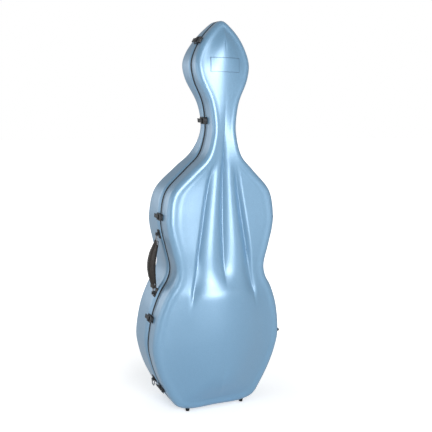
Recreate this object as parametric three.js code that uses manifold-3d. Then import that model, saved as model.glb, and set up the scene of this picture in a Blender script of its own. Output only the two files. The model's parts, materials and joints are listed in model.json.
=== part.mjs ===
// Full-size cello hard case: a moulded back shell, a hinged lid shell and their fittings.
// Millimetres. The case stands on its feet at z = 0, the lid faces -Y and the latches are at -X.
import * as THREE from 'three';
import { mergeVertices } from 'three/addons/utils/BufferGeometryUtils.js';
import Module from 'manifold-3d';

const wasm = await Module();
wasm.setup();

// Outline of the case seen from the front
const caseHeight = 1340;
const baseHeight = 10;
const lowerBoutWidth = 482;
const lowerBoutHeight = 0.1925 * caseHeight;
const waistWidth = 329;
const waistHeight = 0.3843 * caseHeight;
const upperBoutWidth = 399;
const upperBoutHeight = 0.5164 * caseHeight;
const neckWidth = 87;
const neckHeight = 0.7448 * caseHeight;
const headWidth = 196;
const headHeight = 0.8978 * caseHeight;

// Depths from the seam plane between the two shells
const lidDepth = 126;
const backDepth = 162;
const lidCornerRadius = 24;
const backCornerRadius = 36;
const channelWidth = 26;
const channelDepth = 3;
const fluteDepth = 21;
const neckFluteSpread = 37;
const bridgeFluteSpread = 106;
const fluteTopHeight = 0.6754 * caseHeight;
const fluteEndHeight = 0.3582 * caseHeight;
const fluteRunOut = 60;
const fluteBankWidth = 20;

// Walls and clearances
const wall = 3;
const liningThickness = 6;
const gap = 0.3;
const overrun = 3;

// Rims and seal along the seam
const rimHeight = 4.6;
const rimWidth = 7;
const rimProud = 0.8;
const sealHeight = 1.2;
const sealInset = 0.4;

// Feet
const footRadius = 8;
const footSpacing = 210;
const lidFootDepth = 35;
const backFootDepth = 82;
const sideFootRadius = 7;
const sideFootHeight = 11;
const lidSideFootDepth = 38;
const upperSideFootHeight = 0.5075 * caseHeight;
const lowerSideFootHeight = 0.1918 * caseHeight;

// Hinges
const hingeOffset = 7;
const hingeLength = 46;
const knuckleRadius = 4.5;
const hingePinRadius = 2;
const hingePinHead = 2;
const leafThickness = 2.4;
const leafReach = 24;
const backKnuckleLength = 18;
const hingeWeb = 3;

// Draw latches, along the left seam from the head down
const latchShares = [0.9493, 0.7575, 0.5179, 0.2552, 0.0642];
const latchHeights = latchShares.map((share) => share * caseHeight);
const latchWidth = 22;
const leverWidth = 14;
const leverTop = 11;
const leverThickness = 2.6;
const latchTailReach = 39;
const latchBaseReach = 32;
const keeperReach = 21;
const latchPinRadius = 1.5;
const latchPinHeight = 6.5;
const latchPinDepth = 8;
const clawPivotHeight = 8;
const clawPivotDepth = 16;
const clawPegLength = 2.2;
const latchBaseThickness = 2.2;
const hubRadius = 3.6;
const clawThickness = 2.8;
const clawArmWidth = 2;
const clawArmClearance = 5.4;
const keeperTop = 7.4;
const keeperSideGap = 1.2;
const lockRadius = 4.3;
const lockHeight = 4.8;
const keySlot = 1.2;

// Carrying handle at the waist, on wire rings that turn in two brackets
const handleDepth = 31;
const handleUpperHeight = 0.4716 * caseHeight;
const handleLowerHeight = 0.3134 * caseHeight;
const handleStandoff = 11;
const handleBulge = 10;
const gripWidth = 31;
const gripThickness = 22;
const gripEndShare = 0.56;
const wireRadius = 2;
const handleRingReach = 27;
const handleRingWidth = 26;
const handleRingTip = 5;
const eyeLength = 10;
const eyeRadius = 5;
const studHead = 1.6;
const studHeadRadius = 4;
const bracketWidth = 20;
const bracketLength = 32;
const plateThickness = 3;

// Strap rings on the back shell
const strapRingWidth = 30;
const strapRingTip = 16;
const strapRingReach = 20;
const strapEyeRadius = 4;
const strapEyeLength = 16;
const strapPlateLength = 26;
const strapPlateWidth = 24;
const strapRingStandoff = 7;
const lowerRingHeight = 0.0731 * caseHeight;
const lowerRingDepth = 60;
const upperRingHeight = 0.6343 * caseHeight;

// Padding and holders inside
const cradleWidth = 90;
const cradleLength = 60;
const cradleHeight = 0.7351 * caseHeight;
const cradleFront = 14;
const cradleNotchRadius = 22;
const strapWidth = 38;
const strapThickness = 2.5;
const padWidth = 56;
const padLength = 92;
const padThickness = 30;
const padWeb = 10;
const upperPadSpacing = 210;
const upperPadHeight = 0.5149 * caseHeight;
const endBlockWidth = 120;
const endBlockTop = 56;
const endWingTop = 140;
const endBlockFront = 50;
const endpinHoleRadius = 15;
const endpinHoleDepth = 26;
const endpinDepth = 88;
const bowSpacing = 60;
const bowClipHeight = 0.153 * caseHeight;
const bowPadRadius = 12;
const bowPadHeight = 9;
const bowClipLength = 46;
const bowClipWidth = 13;
const bowClipThickness = 4;
const bowStudRadius = 2.5;
const bowTipHeight = 0.556 * caseHeight;
const bowPocketWidth = 34;
const bowPocketLength = 80;
const bowPocketDepth = 18;
const pocketWall = 3;

// Badge field on the head, left bare
const badgeWidth = 104;
const badgeHeight = 47;
const badgeCentreHeight = 0.8933 * caseHeight;
const badgeThickness = 1.4;

// Resolution: stations along half the outline, the length and turn each may span, and round sides
const halfStations = 32;
const stationTurn = 0.17;
const stationStep = 56;
const samplesPerStation = 60;
const roundSegments = 12;
const pinSegments = 8;
const mergeTolerance = 1e-3;

const finishes = {
  shell: new THREE.MeshStandardMaterial({ color: 0x8fb8d6, metalness: 0.55, roughness: 0.38 }),
  rim: new THREE.MeshStandardMaterial({ color: 0x1b2633, metalness: 0.1, roughness: 0.5 }),
  rubber: new THREE.MeshStandardMaterial({ color: 0x141414, metalness: 0, roughness: 0.85 }),
  latch: new THREE.MeshStandardMaterial({ color: 0x18191b, metalness: 0, roughness: 0.45 }),
  steel: new THREE.MeshStandardMaterial({ color: 0x3a3d42, metalness: 0.9, roughness: 0.35 }),
  leather: new THREE.MeshStandardMaterial({ color: 0x2c2724, metalness: 0, roughness: 0.6 }),
  lining: new THREE.MeshStandardMaterial({ color: 0x24364a, metalness: 0, roughness: 0.95 }),
  webbing: new THREE.MeshStandardMaterial({ color: 0x1a1c20, metalness: 0, roughness: 0.9 }),
};

// Each table runs from one named station of the outline to the next: the share of the way across
// from the first half width to the second, and the share of the way up
const bottomShares = [[0.41, 0], [0.613, 0.064], [0.724, 0.212], [0.881, 0.512], [0.977, 0.812]];
const waistInShares = [[0.2, 0.404], [0.58, 0.698], [0.876, 0.843]];
const waistOutShares = [[0.463, 0.417], [0.877, 0.737]];
const shoulderShares = [[0.099, 0.276], [0.543, 0.519], [0.853, 0.68], [0.981, 0.883]];
const throatShares = [[0.227, 0.376], [0.845, 0.741]];
const crownShares = [[0.214, 0.43], [0.617, 0.81]];

// Depth tables: share of the case height, share of the shell's full depth
const lidEdgeShares = [[0, 0.45], [0.06, 0.452], [0.149, 0.49], [0.224, 0.524], [0.299, 0.575],
  [0.358, 0.625], [0.418, 0.63], [0.478, 0.597], [0.522, 0.565], [0.567, 0.52], [0.6, 0.508],
  [0.627, 0.522], [0.649, 0.555], [0.672, 0.582], [0.7, 0.575], [0.746, 0.54], [0.806, 0.49],
  [0.836, 0.452], [0.866, 0.41], [0.896, 0.375], [0.925, 0.345], [0.955, 0.325], [0.985, 0.28],
  [1, 0.24]];
const lidCrestShares = [[0, 0.698], [0.045, 0.746], [0.09, 0.802], [0.134, 0.869], [0.179, 0.933],
  [0.224, 0.98], [0.261, 1], [0.299, 0.988], [0.321, 0.956], [0.343, 0.905], [0.358, 0.853],
  [0.373, 0.806], [0.388, 0.77], [0.407, 0.742], [0.448, 0.69], [0.485, 0.643], [0.522, 0.599],
  [0.56, 0.563], [0.597, 0.54], [0.634, 0.528], [0.672, 0.528], [0.716, 0.532], [0.791, 0.524],
  [0.836, 0.512], [0.881, 0.488], [0.914, 0.46], [0.933, 0.429], [0.951, 0.381], [0.97, 0.333],
  [0.985, 0.298], [1, 0.262]];
const fluteShares = [[0, 0], [0.321, 0], [0.34, 0.048], [0.354, 0.19], [0.369, 0.452], [0.384, 0.69],
  [0.403, 0.857], [0.425, 0.952], [0.463, 1], [0.522, 1], [0.582, 0.952], [0.627, 0.81],
  [0.657, 0.619], [0.687, 0.405], [0.716, 0.238], [0.754, 0.119], [0.806, 0.048], [0.843, 0], [1, 0]];
const backEdgeShares = [[0, 0.88], [0.06, 0.92], [0.15, 0.965], [0.224, 0.97], [0.42, 0.96],
  [0.478, 0.93], [0.522, 0.87], [0.567, 0.81], [0.597, 0.77], [0.627, 0.73], [0.649, 0.68],
  [0.672, 0.59], [0.694, 0.47], [0.716, 0.37], [0.746, 0.33], [0.776, 0.352], [0.806, 0.426],
  [0.836, 0.512], [0.866, 0.586], [0.896, 0.617], [0.925, 0.574], [0.955, 0.457], [0.985, 0.36],
  [1, 0.33]];
const backCrestShares = [[0, 0.91], [0.1, 0.97], [0.2, 1], [0.42, 0.995], [0.478, 0.965], [0.522, 0.905],
  [0.567, 0.845], [0.597, 0.805], [0.627, 0.765], [0.649, 0.715], [0.672, 0.625], [0.694, 0.505],
  [0.716, 0.405], [0.746, 0.365], [0.776, 0.387], [0.806, 0.461], [0.836, 0.547], [0.866, 0.621],
  [0.896, 0.652], [0.925, 0.609], [0.955, 0.5], [0.985, 0.4], [1, 0.37]];

// Spine line on which the face's rays end, as shares of the case height
const spineLowShare = 0.1;
const spineHighShare = 0.955;
const spineSpreadShare = 0.3;
const spineBlendShare = 0.03;

const quarter = Math.PI / 2;
const parting = sealHeight / 2;
const rimTop = parting + gap / 2 + rimHeight;
const shellStart = rimTop + gap;
const seatSkin = wall + gap;
const liningSkin = seatSkin + liningThickness;

function blend(a, b, share) {
  return a + (b - a) * share;
}

// Right half of the outline from the bottom centre to the top of the head
function halfOutlinePoints() {
  const keys = [[0, baseHeight], [lowerBoutWidth, lowerBoutHeight], [waistWidth, waistHeight],
    [upperBoutWidth, upperBoutHeight], [neckWidth, neckHeight], [headWidth, headHeight], [0, caseHeight]];
  const tables = [bottomShares, waistInShares, waistOutShares, shoulderShares, throatShares, crownShares];
  const points = [];
  tables.forEach((shares, i) => {
    const [fromWidth, fromHeight] = keys[i];
    const [toWidth, toHeight] = keys[i + 1];
    [[0, 0], ...shares].forEach(([across, up]) => {
      const halfWidth = blend(fromWidth, toWidth, across) / 2;
      points.push(new THREE.Vector3(halfWidth, 0, blend(fromHeight, toHeight, up)));
    });
  });
  points.push(new THREE.Vector3(0, 0, caseHeight));
  return points;
}

// Value of a table of shares at a height, as a smooth curve without overshoot
function tableAt(table, height) {
  const share = THREE.MathUtils.clamp(height / caseHeight, 0, 1);
  let i = 0;
  while (i < table.length - 2 && share > table[i + 1][0]) i += 1;
  const slope = (k) => (table[k + 1][1] - table[k][1]) / (table[k + 1][0] - table[k][0]);
  const tangent = (k) => {
    if (k === 0 || k === table.length - 1) return 0;
    const [before, after] = [slope(k - 1), slope(k)];
    return before * after <= 0 ? 0 : (2 * before * after) / (before + after);
  };
  const span = table[i + 1][0] - table[i][0];
  const t = (share - table[i][0]) / span;
  const rise = t * t * (3 - 2 * t);
  return blend(table[i][1], table[i + 1][1], rise)
    + span * t * (1 - t) * ((1 - t) * tangent(i) - t * tangent(i + 1));
}

// Stations up the right half of the outline, each spanning a limited length and a limited turn
function sampleStations() {
  const right = halfOutlinePoints();
  const left = right.slice(1, -1).reverse().map((p) => new THREE.Vector3(-p.x, 0, p.z));
  const curve = new THREE.CatmullRomCurve3([...right, ...left], true, 'centripetal');
  const samples = halfStations * samplesPerStation;
  const halfShare = (right.length - 1) / (right.length + left.length);
  const fine = [];
  for (let i = 0; i <= samples; i += 1) fine.push(curve.getPoint((halfShare * i) / samples));
  const weight = [0];
  const arc = [0];
  for (let i = 1; i <= samples; i += 1) {
    const before = fine[i].clone().sub(fine[i - 1]);
    const after = fine[Math.min(i + 1, samples)].clone().sub(fine[i]);
    const turn = i < samples ? before.angleTo(after) : 0;
    weight.push(weight[i - 1] + before.length() / stationStep + turn / stationTurn);
    arc.push(arc[i - 1] + before.length());
  }
  const stations = [];
  let at = 0;
  for (let k = 0; k <= halfStations; k += 1) {
    const target = (weight[samples] * k) / halfStations;
    while (at < samples - 1 && weight[at + 1] < target) at += 1;
    const share = THREE.MathUtils.clamp((target - weight[at]) / (weight[at + 1] - weight[at]), 0, 1);
    const point = fine[at].clone().lerp(fine[at + 1], share);
    stations.push({ point, arc: blend(arc[at], arc[at + 1], share) });
  }
  stations[0].point.x = 0;
  stations[halfStations].point.x = 0;
  return { stations, halfLength: arc[samples] };
}

const { stations: halfStation, halfLength } = sampleStations();
const stationCount = 2 * halfStations;

// The closed polygon of stations, with the normals of its edges and its mitred corners
const outline = halfStation.map(({ point }) => point.clone());
for (let k = halfStations - 1; k > 0; k -= 1) {
  const p = halfStation[k].point;
  outline.push(new THREE.Vector3(-p.x, 0, p.z));
}
const edgeNormal = outline.map((p, i) => {
  const along = outline[(i + 1) % stationCount].clone().sub(p).normalize();
  return new THREE.Vector3(along.z, 0, -along.x);
});
const mitre = outline.map((_, i) => {
  const a = edgeNormal[(i + stationCount - 1) % stationCount];
  const b = edgeNormal[i];
  const sum = a.clone().add(b).normalize();
  return sum.divideScalar(sum.dot(b));
});

function mirrorIndex(i) {
  return i <= halfStations ? i : stationCount - i;
}

function smoothMax(a, b, width) {
  return (a + b + Math.hypot(a - b, width)) / 2;
}

// Height of the spine point that each station's ray runs to
const spine = halfStation.map(({ point, arc }) => {
  const width = spineBlendShare * caseHeight;
  const low = spineLowShare * caseHeight + spineSpreadShare * arc;
  const high = spineHighShare * caseHeight - spineSpreadShare * (halfLength - arc);
  return -smoothMax(-smoothMax(point.z, low, width), -high, width);
});

// Station moved in from the outline and out from the seam
function offsetPoint(i, inset, depth, side) {
  const p = outline[i].clone().addScaledVector(mitre[i], -inset);
  if (i === 0 || i === halfStations) p.x = 0;
  p.y = side * depth;
  return p;
}

// Corner radius limited by the room between the outline and the spine
function cornerRadiusAt(i, radius) {
  const k = mirrorIndex(i);
  const room = Math.hypot(outline[k].x, outline[k].z - spine[k]);
  return (radius * room) / (room + radius);
}

const lid = {
  side: -1,
  cornerRadius: lidCornerRadius,
  edge: (z) => lidDepth * tableAt(lidEdgeShares, z),
  crest: (z) => lidDepth * tableAt(lidCrestShares, z),
  flutes: true,
};
const back = {
  side: 1,
  cornerRadius: backCornerRadius,
  edge: (z) => backDepth * tableAt(backEdgeShares, z),
  crest: (z) => backDepth * tableAt(backCrestShares, z),
  flutes: false,
};

// Distance of the outer creases from the centre line: they fan out from the neck to the bridge
function fluteSpread(z) {
  const mostRunShare = 1.3;
  const run = (fluteTopHeight - z) / (fluteTopHeight - fluteEndHeight);
  return blend(neckFluteSpread, bridgeFluteSpread, THREE.MathUtils.clamp(run, 0, mostRunShare));
}

// Depth lost to three creases with two round flutes between them. Outside the outer creases a
// narrow bank rises to a lip that stands a little proud of the panel.
function grooveAt(x, z) {
  const softShare = 0.16;
  const lipShare = 0.08;
  const lipRunShare = 1.2;
  const spread = fluteSpread(z);
  const u = Math.min(Math.abs(x) / spread, 1);
  const beyond = Math.max(Math.abs(x) - spread, 0);
  const rise = Math.hypot(Math.sin(Math.PI * u), softShare) - softShare;
  const round = rise / (Math.hypot(1, softShare) - softShare);
  const bank = 1 - Math.max(1 - beyond / fluteBankWidth, 0) ** 2;
  const lip = lipShare * bank * (1 - THREE.MathUtils.smoothstep(beyond, 0, lipRunShare * spread));
  const full = u < 1 ? round : bank + lip;
  return fluteDepth * tableAt(fluteShares, z + fluteRunOut * u ** 2) * (1 - full);
}

// Rings of points from the seam to the spine, at a skin depth below the outer surface:
// flank, rounded corner, shallow channel, then an arched face whose rays end on the spine.
// A face ring lies at a share of the run to the spine, or at a multiple of the flutes' spread.
function shellRings(shell, skin, cornerTurns, face) {
  const least = 0.2;
  const rings = [];
  const ring = (make) => rings.push(outline.map((_, i) => make(i)));
  const radiusAt = (i) => cornerRadiusAt(i, shell.cornerRadius);
  ring((i) => offsetPoint(i, skin, shellStart, shell.side));
  cornerTurns.forEach((turn) => ring((i) => {
    const radius = radiusAt(i);
    const small = Math.max(radius - skin, radius * least);
    const depth = shell.edge(outline[i].z) - radius + (radius - skin) * Math.sin(turn);
    return offsetPoint(i, radius - small * Math.cos(turn), depth, shell.side);
  }));
  face.forEach((place) => ring((i) => {
    const k = mirrorIndex(i);
    const start = offsetPoint(i, radiusAt(i), 0, shell.side);
    const end = new THREE.Vector3(0, 0, spine[k]);
    const length = start.distanceTo(end);
    const channel = Math.min(channelWidth / length, 0.25);
    const t = place(channel, fluteSpread(spine[k]) / length);
    const p = start.lerp(end, t);
    const arch = Math.sin(quarter * t ** 0.8) ** 2;
    let depth = blend(shell.edge(outline[i].z), shell.crest(spine[k]), arch);
    if (shell.flutes) {
      const plain = 1 - THREE.MathUtils.smoothstep(p.z, neckHeight, headHeight);
      const hollow = (plain * channelDepth * channel * length) / channelWidth;
      depth -= grooveAt(p.x, p.z) * THREE.MathUtils.smoothstep(t, channel / 2, 2.5 * channel);
      depth -= hollow * Math.sin(Math.PI * Math.min(t / (2 * channel), 1)) ** 2;
    }
    p.y = shell.side * (depth - skin);
    if (t === 1) p.x = 0;
    return p;
  }));
  return rings;
}

// Places of the face rings, as shares of the run from the corner to the spine
const placeAt = (share, most) => (channel, spread) => 1 - Math.min(share * spread, most * (1 - 2 * channel));
const shoulderPlace = placeAt(1.6, 0.86);
const bankPlace = placeAt(1.25, 0.78);
const creasePlace = placeAt(1, 0.7);
const outerPlace = placeAt(0.8, 0.58);
const crestPlace = placeAt(0.5, 0.4);
const innerPlace = placeAt(0.2, 0.18);
const channelPlace = (channel) => channel;
const channelEndPlace = (channel) => 2 * channel;
const panelPlace = (channel, spread) => blend(channelEndPlace(channel), shoulderPlace(channel, spread), 0.5);
const spinePlace = () => 1;
const middlePlace = () => 0.4;
const fineTurns = [0, quarter / 3, (2 * quarter) / 3, quarter];
const coarseTurns = [0, quarter];
const lidFace = [channelPlace, channelEndPlace, panelPlace, shoulderPlace, bankPlace, creasePlace,
  outerPlace, crestPlace, innerPlace, spinePlace];
const lidLiningFace = [channelPlace, shoulderPlace, creasePlace, crestPlace, spinePlace];
const backFace = [middlePlace, spinePlace];

// Merged position-only copy whose faces point outwards and have three different corners
function outward(source) {
  const bare = source.clone();
  bare.deleteAttribute('normal');
  bare.deleteAttribute('uv');
  const geometry = mergeVertices(bare, mergeTolerance);
  const p = geometry.getAttribute('position');
  const old = geometry.getIndex().array;
  const index = [];
  let volume = 0;
  const [a, b, c] = [new THREE.Vector3(), new THREE.Vector3(), new THREE.Vector3()];
  for (let i = 0; i < old.length; i += 3) {
    const [u, v, w] = [old[i], old[i + 1], old[i + 2]];
    if (u === v || v === w || w === u) continue;
    index.push(u, v, w);
    a.fromBufferAttribute(p, u);
    b.fromBufferAttribute(p, v);
    c.fromBufferAttribute(p, w);
    volume += a.dot(b.cross(c));
  }
  if (volume < 0) index.reverse();
  geometry.setIndex(index);
  return geometry;
}

// Surface between consecutive rings of equal length; an end ring may fold onto itself.
// The rings before `turned` run the other way, and their diagonals with them.
function loft(rings, closed, turned = 0) {
  const positions = rings.flat().flatMap((p) => [p.x, p.y, p.z]);
  const count = rings[0].length;
  const index = [];
  const last = closed ? rings.length : rings.length - 1;
  for (let r = 0; r < last; r += 1) {
    const next = (r + 1) % rings.length;
    for (let i = 0; i < count; i += 1) {
      const j = (i + 1) % count;
      const [a, b, c, d] = [r * count + i, r * count + j, next * count + j, next * count + i];
      // The diagonal turns over half way round, so that mirrored halves match
      if ((i < count / 2) !== (r < turned)) index.push(a, b, c, a, c, d);
      else index.push(a, b, d, b, c, d);
    }
  }
  const geometry = new THREE.BufferGeometry();
  geometry.setAttribute('position', new THREE.Float32BufferAttribute(positions, 3));
  geometry.setIndex(index);
  return outward(geometry);
}

function toManifold(source) {
  const geometry = outward(source);
  return new wasm.Manifold(new wasm.Mesh({
    numProp: 3,
    vertProperties: new Float32Array(geometry.getAttribute('position').array),
    triVerts: new Uint32Array(geometry.getIndex().array),
  }));
}

function fromManifold(solid) {
  const mesh = solid.getMesh();
  const geometry = new THREE.BufferGeometry();
  geometry.setAttribute('position', new THREE.BufferAttribute(new Float32Array(mesh.vertProperties), 3));
  geometry.setIndex(new THREE.BufferAttribute(new Uint32Array(mesh.triVerts), 1));
  return geometry;
}

function join(...geometries) {
  return fromManifold(geometries.map(toManifold).reduce((a, b) => a.add(b)));
}

function cut(geometry, ...tools) {
  return fromManifold(tools.map(toManifold).reduce((a, b) => a.subtract(b), toManifold(geometry)));
}

function common(a, b) {
  return fromManifold(toManifold(a).intersect(toManifold(b)));
}

// Box between two corners, given in either order
function box(one, other) {
  const low = one.map((v, i) => Math.min(v, other[i]));
  const size = one.map((v, i) => Math.abs(v - other[i]));
  return new THREE.BoxGeometry(...size).translate(...low.map((v, i) => v + size[i] / 2));
}

// Round bar along an axis between two places, moved to a centre
function rod(axis, radius, from, to, centre = [0, 0, 0], segments = roundSegments) {
  const geometry = new THREE.CylinderGeometry(radius, radius, Math.abs(to - from), segments);
  geometry.translate(0, (from + to) / 2, 0);
  if (axis === 'x') geometry.rotateZ(-quarter);
  if (axis === 'z') geometry.rotateX(quarter);
  return geometry.translate(...centre);
}

// Tool for a hole whose flats, not corners, lie at the radius
function bore(axis, radius, from, to, centre = [0, 0, 0], segments = pinSegments) {
  return rod(axis, radius / Math.cos(Math.PI / segments), from, to, centre, segments);
}

// Polygon of (x, y) pairs extruded along z
function prism(points, from, to) {
  const shape = new THREE.Shape(points.map(([x, y]) => new THREE.Vector2(x, y)));
  const geometry = new THREE.ExtrudeGeometry(shape, { depth: to - from, bevelEnabled: false });
  return geometry.translate(0, 0, from);
}

// Polygon of (x, z) pairs extruded along y
function uprightPrism(points, from, to) {
  return prism(points, -to, -from).rotateX(quarter);
}

function named(name, geometry, material) {
  const mesh = new THREE.Mesh(geometry, material);
  mesh.name = name;
  return mesh;
}

function basisAt(origin, x, y) {
  return new THREE.Matrix4().makeBasis(x, y, x.clone().cross(y)).setPosition(origin);
}

const backwards = new THREE.Vector3(0, 1, 0);
const level = new THREE.Matrix4();

// Place on the flank at a height: x outwards, y to the back, z along the seam
function flankFrame(side, height, depth = 0) {
  let k = 0;
  for (let i = 0; i < halfStations; i += 1) {
    if (outline[i].z <= height && outline[i + 1].z > height) k = i;
  }
  const [a, b] = [outline[k], outline[k + 1]];
  const point = a.clone().lerp(b, (height - a.z) / (b.z - a.z));
  const out = edgeNormal[k].clone();
  if (side < 0) {
    point.x *= -1;
    out.x *= -1;
  }
  point.y = depth;
  return basisAt(point, out, backwards);
}

// Group placed by a matrix, holding meshes drawn in its own frame
function placed(matrix, ...meshes) {
  const group = new THREE.Group();
  matrix.decompose(group.position, group.quaternion, group.scale);
  group.add(...meshes);
  return group;
}

// Geometry drawn in a frame, trimmed where it would reach into the outline of the case
function seated(geometry, frame) {
  const points = outline.map((p, i) => [p.x + mitre[i].x * gap, p.z + mitre[i].z * gap]);
  const core = uprightPrism(points, -lidDepth, backDepth);
  return cut(geometry, core.applyMatrix4(frame.clone().invert()));
}

// Closed solid of everything between the seam and a skin below a shell's outer surface
function envelope(shell, skin, turns, face) {
  const rings = shellRings(shell, skin, turns, face);
  const floor = outline.map((_, i) => new THREE.Vector3(0, shell.side * shellStart, spine[mirrorIndex(i)]));
  return loft([floor, ...rings], false);
}

// Wall between two skins of a shell, from the rim inwards
function shellWall(shell, outerSkin, innerSkin, outerTurns, outerFace, innerFace) {
  const outer = shellRings(shell, outerSkin, outerTurns, outerFace);
  const inner = shellRings(shell, innerSkin, coarseTurns, innerFace);
  return loft([...outer.reverse(), ...inner], false, outer.length - 1);
}

// Closed band that runs all the way round the outline, from its section in insets and depths
function band(name, insets, depths, material) {
  const [outer, inner] = insets;
  const [low, high] = depths;
  const corners = [[outer, low], [outer, high], [inner, high], [inner, low]];
  const rings = corners.map(([inset, depth]) => outline.map((_, i) => offsetPoint(i, inset, depth, 1)));
  return named(name, loft(rings, true), material);
}

function shells() {
  return [
    named('back_shell', shellWall(back, 0, wall, fineTurns, backFace, backFace), finishes.shell),
    named('lid_shell', shellWall(lid, 0, wall, fineTurns, lidFace, lidFace), finishes.shell),
    named('back_lining',
      shellWall(back, seatSkin, liningSkin, coarseTurns, backFace, backFace), finishes.lining),
    named('lid_lining',
      shellWall(lid, seatSkin, liningSkin, coarseTurns, lidFace, lidLiningFace), finishes.lining),
  ];
}

function rims() {
  const start = rimTop - rimHeight;
  return [
    band('back_rim', [-rimProud, rimWidth], [start, rimTop], finishes.rim),
    band('lid_rim', [-rimProud, rimWidth], [-rimTop, -start], finishes.rim),
    band('seam_seal', [sealInset, rimWidth], [-parting, parting], finishes.rubber),
  ];
}

// Rubber feet under one shell: tapered studs trimmed to the bottom of the case
function feet(name, depth) {
  const taperShare = 0.85;
  const top = baseHeight + 2 * overrun;
  return [-1, 1].map((side) => {
    const stud = new THREE.CylinderGeometry(footRadius, footRadius * taperShare, top, roundSegments);
    stud.rotateX(quarter).translate((side * footSpacing) / 2, depth, top / 2);
    return named(`${name}_foot_${side < 0 ? 'left' : 'right'}`, seated(stud, level), finishes.rubber);
  });
}

// Rubber studs on the hinge side, for laying the case on its side
function sideFeet() {
  const taperShare = 0.8;
  const length = sideFootHeight + overrun;
  const heights = { lower: lowerSideFootHeight, upper: upperSideFootHeight };
  return Object.entries(heights).map(([name, height]) => {
    const frame = flankFrame(1, height, -lidSideFootDepth);
    const tip = sideFootRadius * taperShare;
    const stud = new THREE.CylinderGeometry(tip, sideFootRadius, length, roundSegments);
    stud.rotateZ(-quarter).translate((sideFootHeight - overrun) / 2, 0, 0);
    return placed(frame, named(`lid_side_foot_${name}`, seated(stud, frame), finishes.rubber));
  });
}

// Frames on the straight line that touches both bouts on the hinge side: x out, z up the line
function hingeFrames() {
  const right = outline.slice(0, halfStations + 1);
  let touching = null;
  right.forEach((low, i) => right.slice(i + 1).forEach((high) => {
    if (touching || low.z > waistHeight || high.z < waistHeight) return;
    const along = high.clone().sub(low).normalize();
    const out = new THREE.Vector3(along.z, 0, -along.x);
    if (right.every((p) => p.clone().sub(low).dot(out) < mergeTolerance)) touching = { low, high, out };
  }));
  const { low, high, out } = touching;
  return [low, high].map((p) => basisAt(p.clone().addScaledVector(out, hingeOffset), out, backwards));
}

// One leaf in its hinge's frame: the pin runs along z at the origin, the flank is at -hingeOffset
function hingeLeaf(side, frame) {
  const start = side * shellStart;
  const face = leafThickness - hingeOffset;
  const half = hingeLength / 2;
  const middle = backKnuckleLength / 2;
  const spans = side > 0 ? [[-middle, middle]] : [[-half, -middle - gap], [middle + gap, half]];
  const plate = box([-hingeOffset - overrun, start, -half], [face, side * leafReach, half]);
  const parts = [seated(plate, frame)];
  spans.forEach(([from, to]) => {
    parts.push(box([face - gap, (side * knuckleRadius) / 2, from], [0, start + side * hingeWeb, to]));
    parts.push(rod('z', knuckleRadius, from, to));
  });
  return cut(join(...parts), bore('z', hingePinRadius + gap, -hingeLength, hingeLength));
}

function hinges() {
  const half = hingeLength / 2 + gap;
  const pin = join(rod('z', hingePinRadius, -half, half, [0, 0, 0], pinSegments),
    rod('z', hingePinRadius + hingePinHead / 2, half, half + hingePinHead));
  const names = ['lower', 'upper'];
  return hingeFrames().map((frame, i) => placed(frame,
    named(`hinge_leaf_back_${names[i]}`, hingeLeaf(1, frame), finishes.steel),
    named(`hinge_leaf_lid_${names[i]}`, hingeLeaf(-1, frame), finishes.steel),
    named(`hinge_pin_${names[i]}`, pin, finishes.steel)));
}

// Latch pieces in the flank frame: x outwards, y to the back, z along the seam
const latchPinCentre = [latchPinHeight, latchPinDepth, 0];
const clawPivot = [clawPivotHeight, clawPivotDepth, 0];
const earStart = leverWidth / 2 + gap;
const armStart = latchWidth / 2 - clawArmWidth;
const earEnd = armStart - gap;
const clawUnder = keeperTop + gap;
const clawFront = -(shellStart + hubRadius);
const lockDepth = (clawFront - keeperReach) / 2;

// Base plate with two ears and the pin riveted between them
function latchBase(frame) {
  const half = latchWidth / 2;
  const parts = [box([-overrun, shellStart, -half], [latchBaseThickness, latchBaseReach, half])];
  [-1, 1].forEach((side) => {
    const [near, far] = [side * earStart, side * earEnd];
    parts.push(box([0, shellStart, near], [latchPinHeight, latchPinDepth + hubRadius, far]));
    parts.push(rod('z', hubRadius, Math.min(near, far), Math.max(near, far), latchPinCentre));
  });
  parts.push(rod('z', latchPinRadius, -earEnd, earEnd, latchPinCentre, pinSegments));
  return seated(join(...parts), frame);
}

function latchLever() {
  const half = leverWidth / 2;
  const under = leverTop - leverThickness;
  const heel = clawPivotDepth + hubRadius;
  const side = [[latchPinHeight, latchPinDepth], [latchPinHeight + hubRadius, latchPinDepth],
    [leverTop, latchPinDepth + hubRadius], [leverTop, latchTailReach], [under, latchTailReach],
    [under, heel + hubRadius], [clawPivotHeight - hubRadius + gap, heel],
    [latchPinHeight - 0.8 * hubRadius, latchPinDepth + 0.6 * hubRadius]];
  const body = join(rod('z', hubRadius, -half, half, latchPinCentre), prism(side, -half, half));
  const socketFrom = half - clawPegLength;
  return cut(body, bore('z', latchPinRadius + gap, -leverWidth, leverWidth, latchPinCentre),
    bore('z', latchPinRadius + gap, socketFrom, leverWidth, clawPivot),
    bore('z', latchPinRadius + gap, -leverWidth, -socketFrom, clawPivot));
}

function latchClaw() {
  const half = latchWidth / 2;
  const top = clawUnder + clawThickness;
  const parts = [box([clawUnder, -keeperReach, -half], [top, clawFront, half])];
  const arm = [[clawUnder, clawFront - hubRadius], [top, clawFront - hubRadius], [top, clawPivotDepth],
    [clawArmClearance, clawPivotDepth], [clawArmClearance, 0]];
  [-1, 1].forEach((side) => {
    const [low, high] = [side * armStart, side * half].sort((a, b) => a - b);
    parts.push(prism(arm, low, high));
    parts.push(rod('z', top - clawPivotHeight, low, high, clawPivot));
    const peg = [side * (leverWidth / 2 - clawPegLength + gap), side * half].sort((a, b) => a - b);
    parts.push(rod('z', latchPinRadius, peg[0], peg[1], clawPivot, pinSegments));
  });
  return join(...parts);
}

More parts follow.
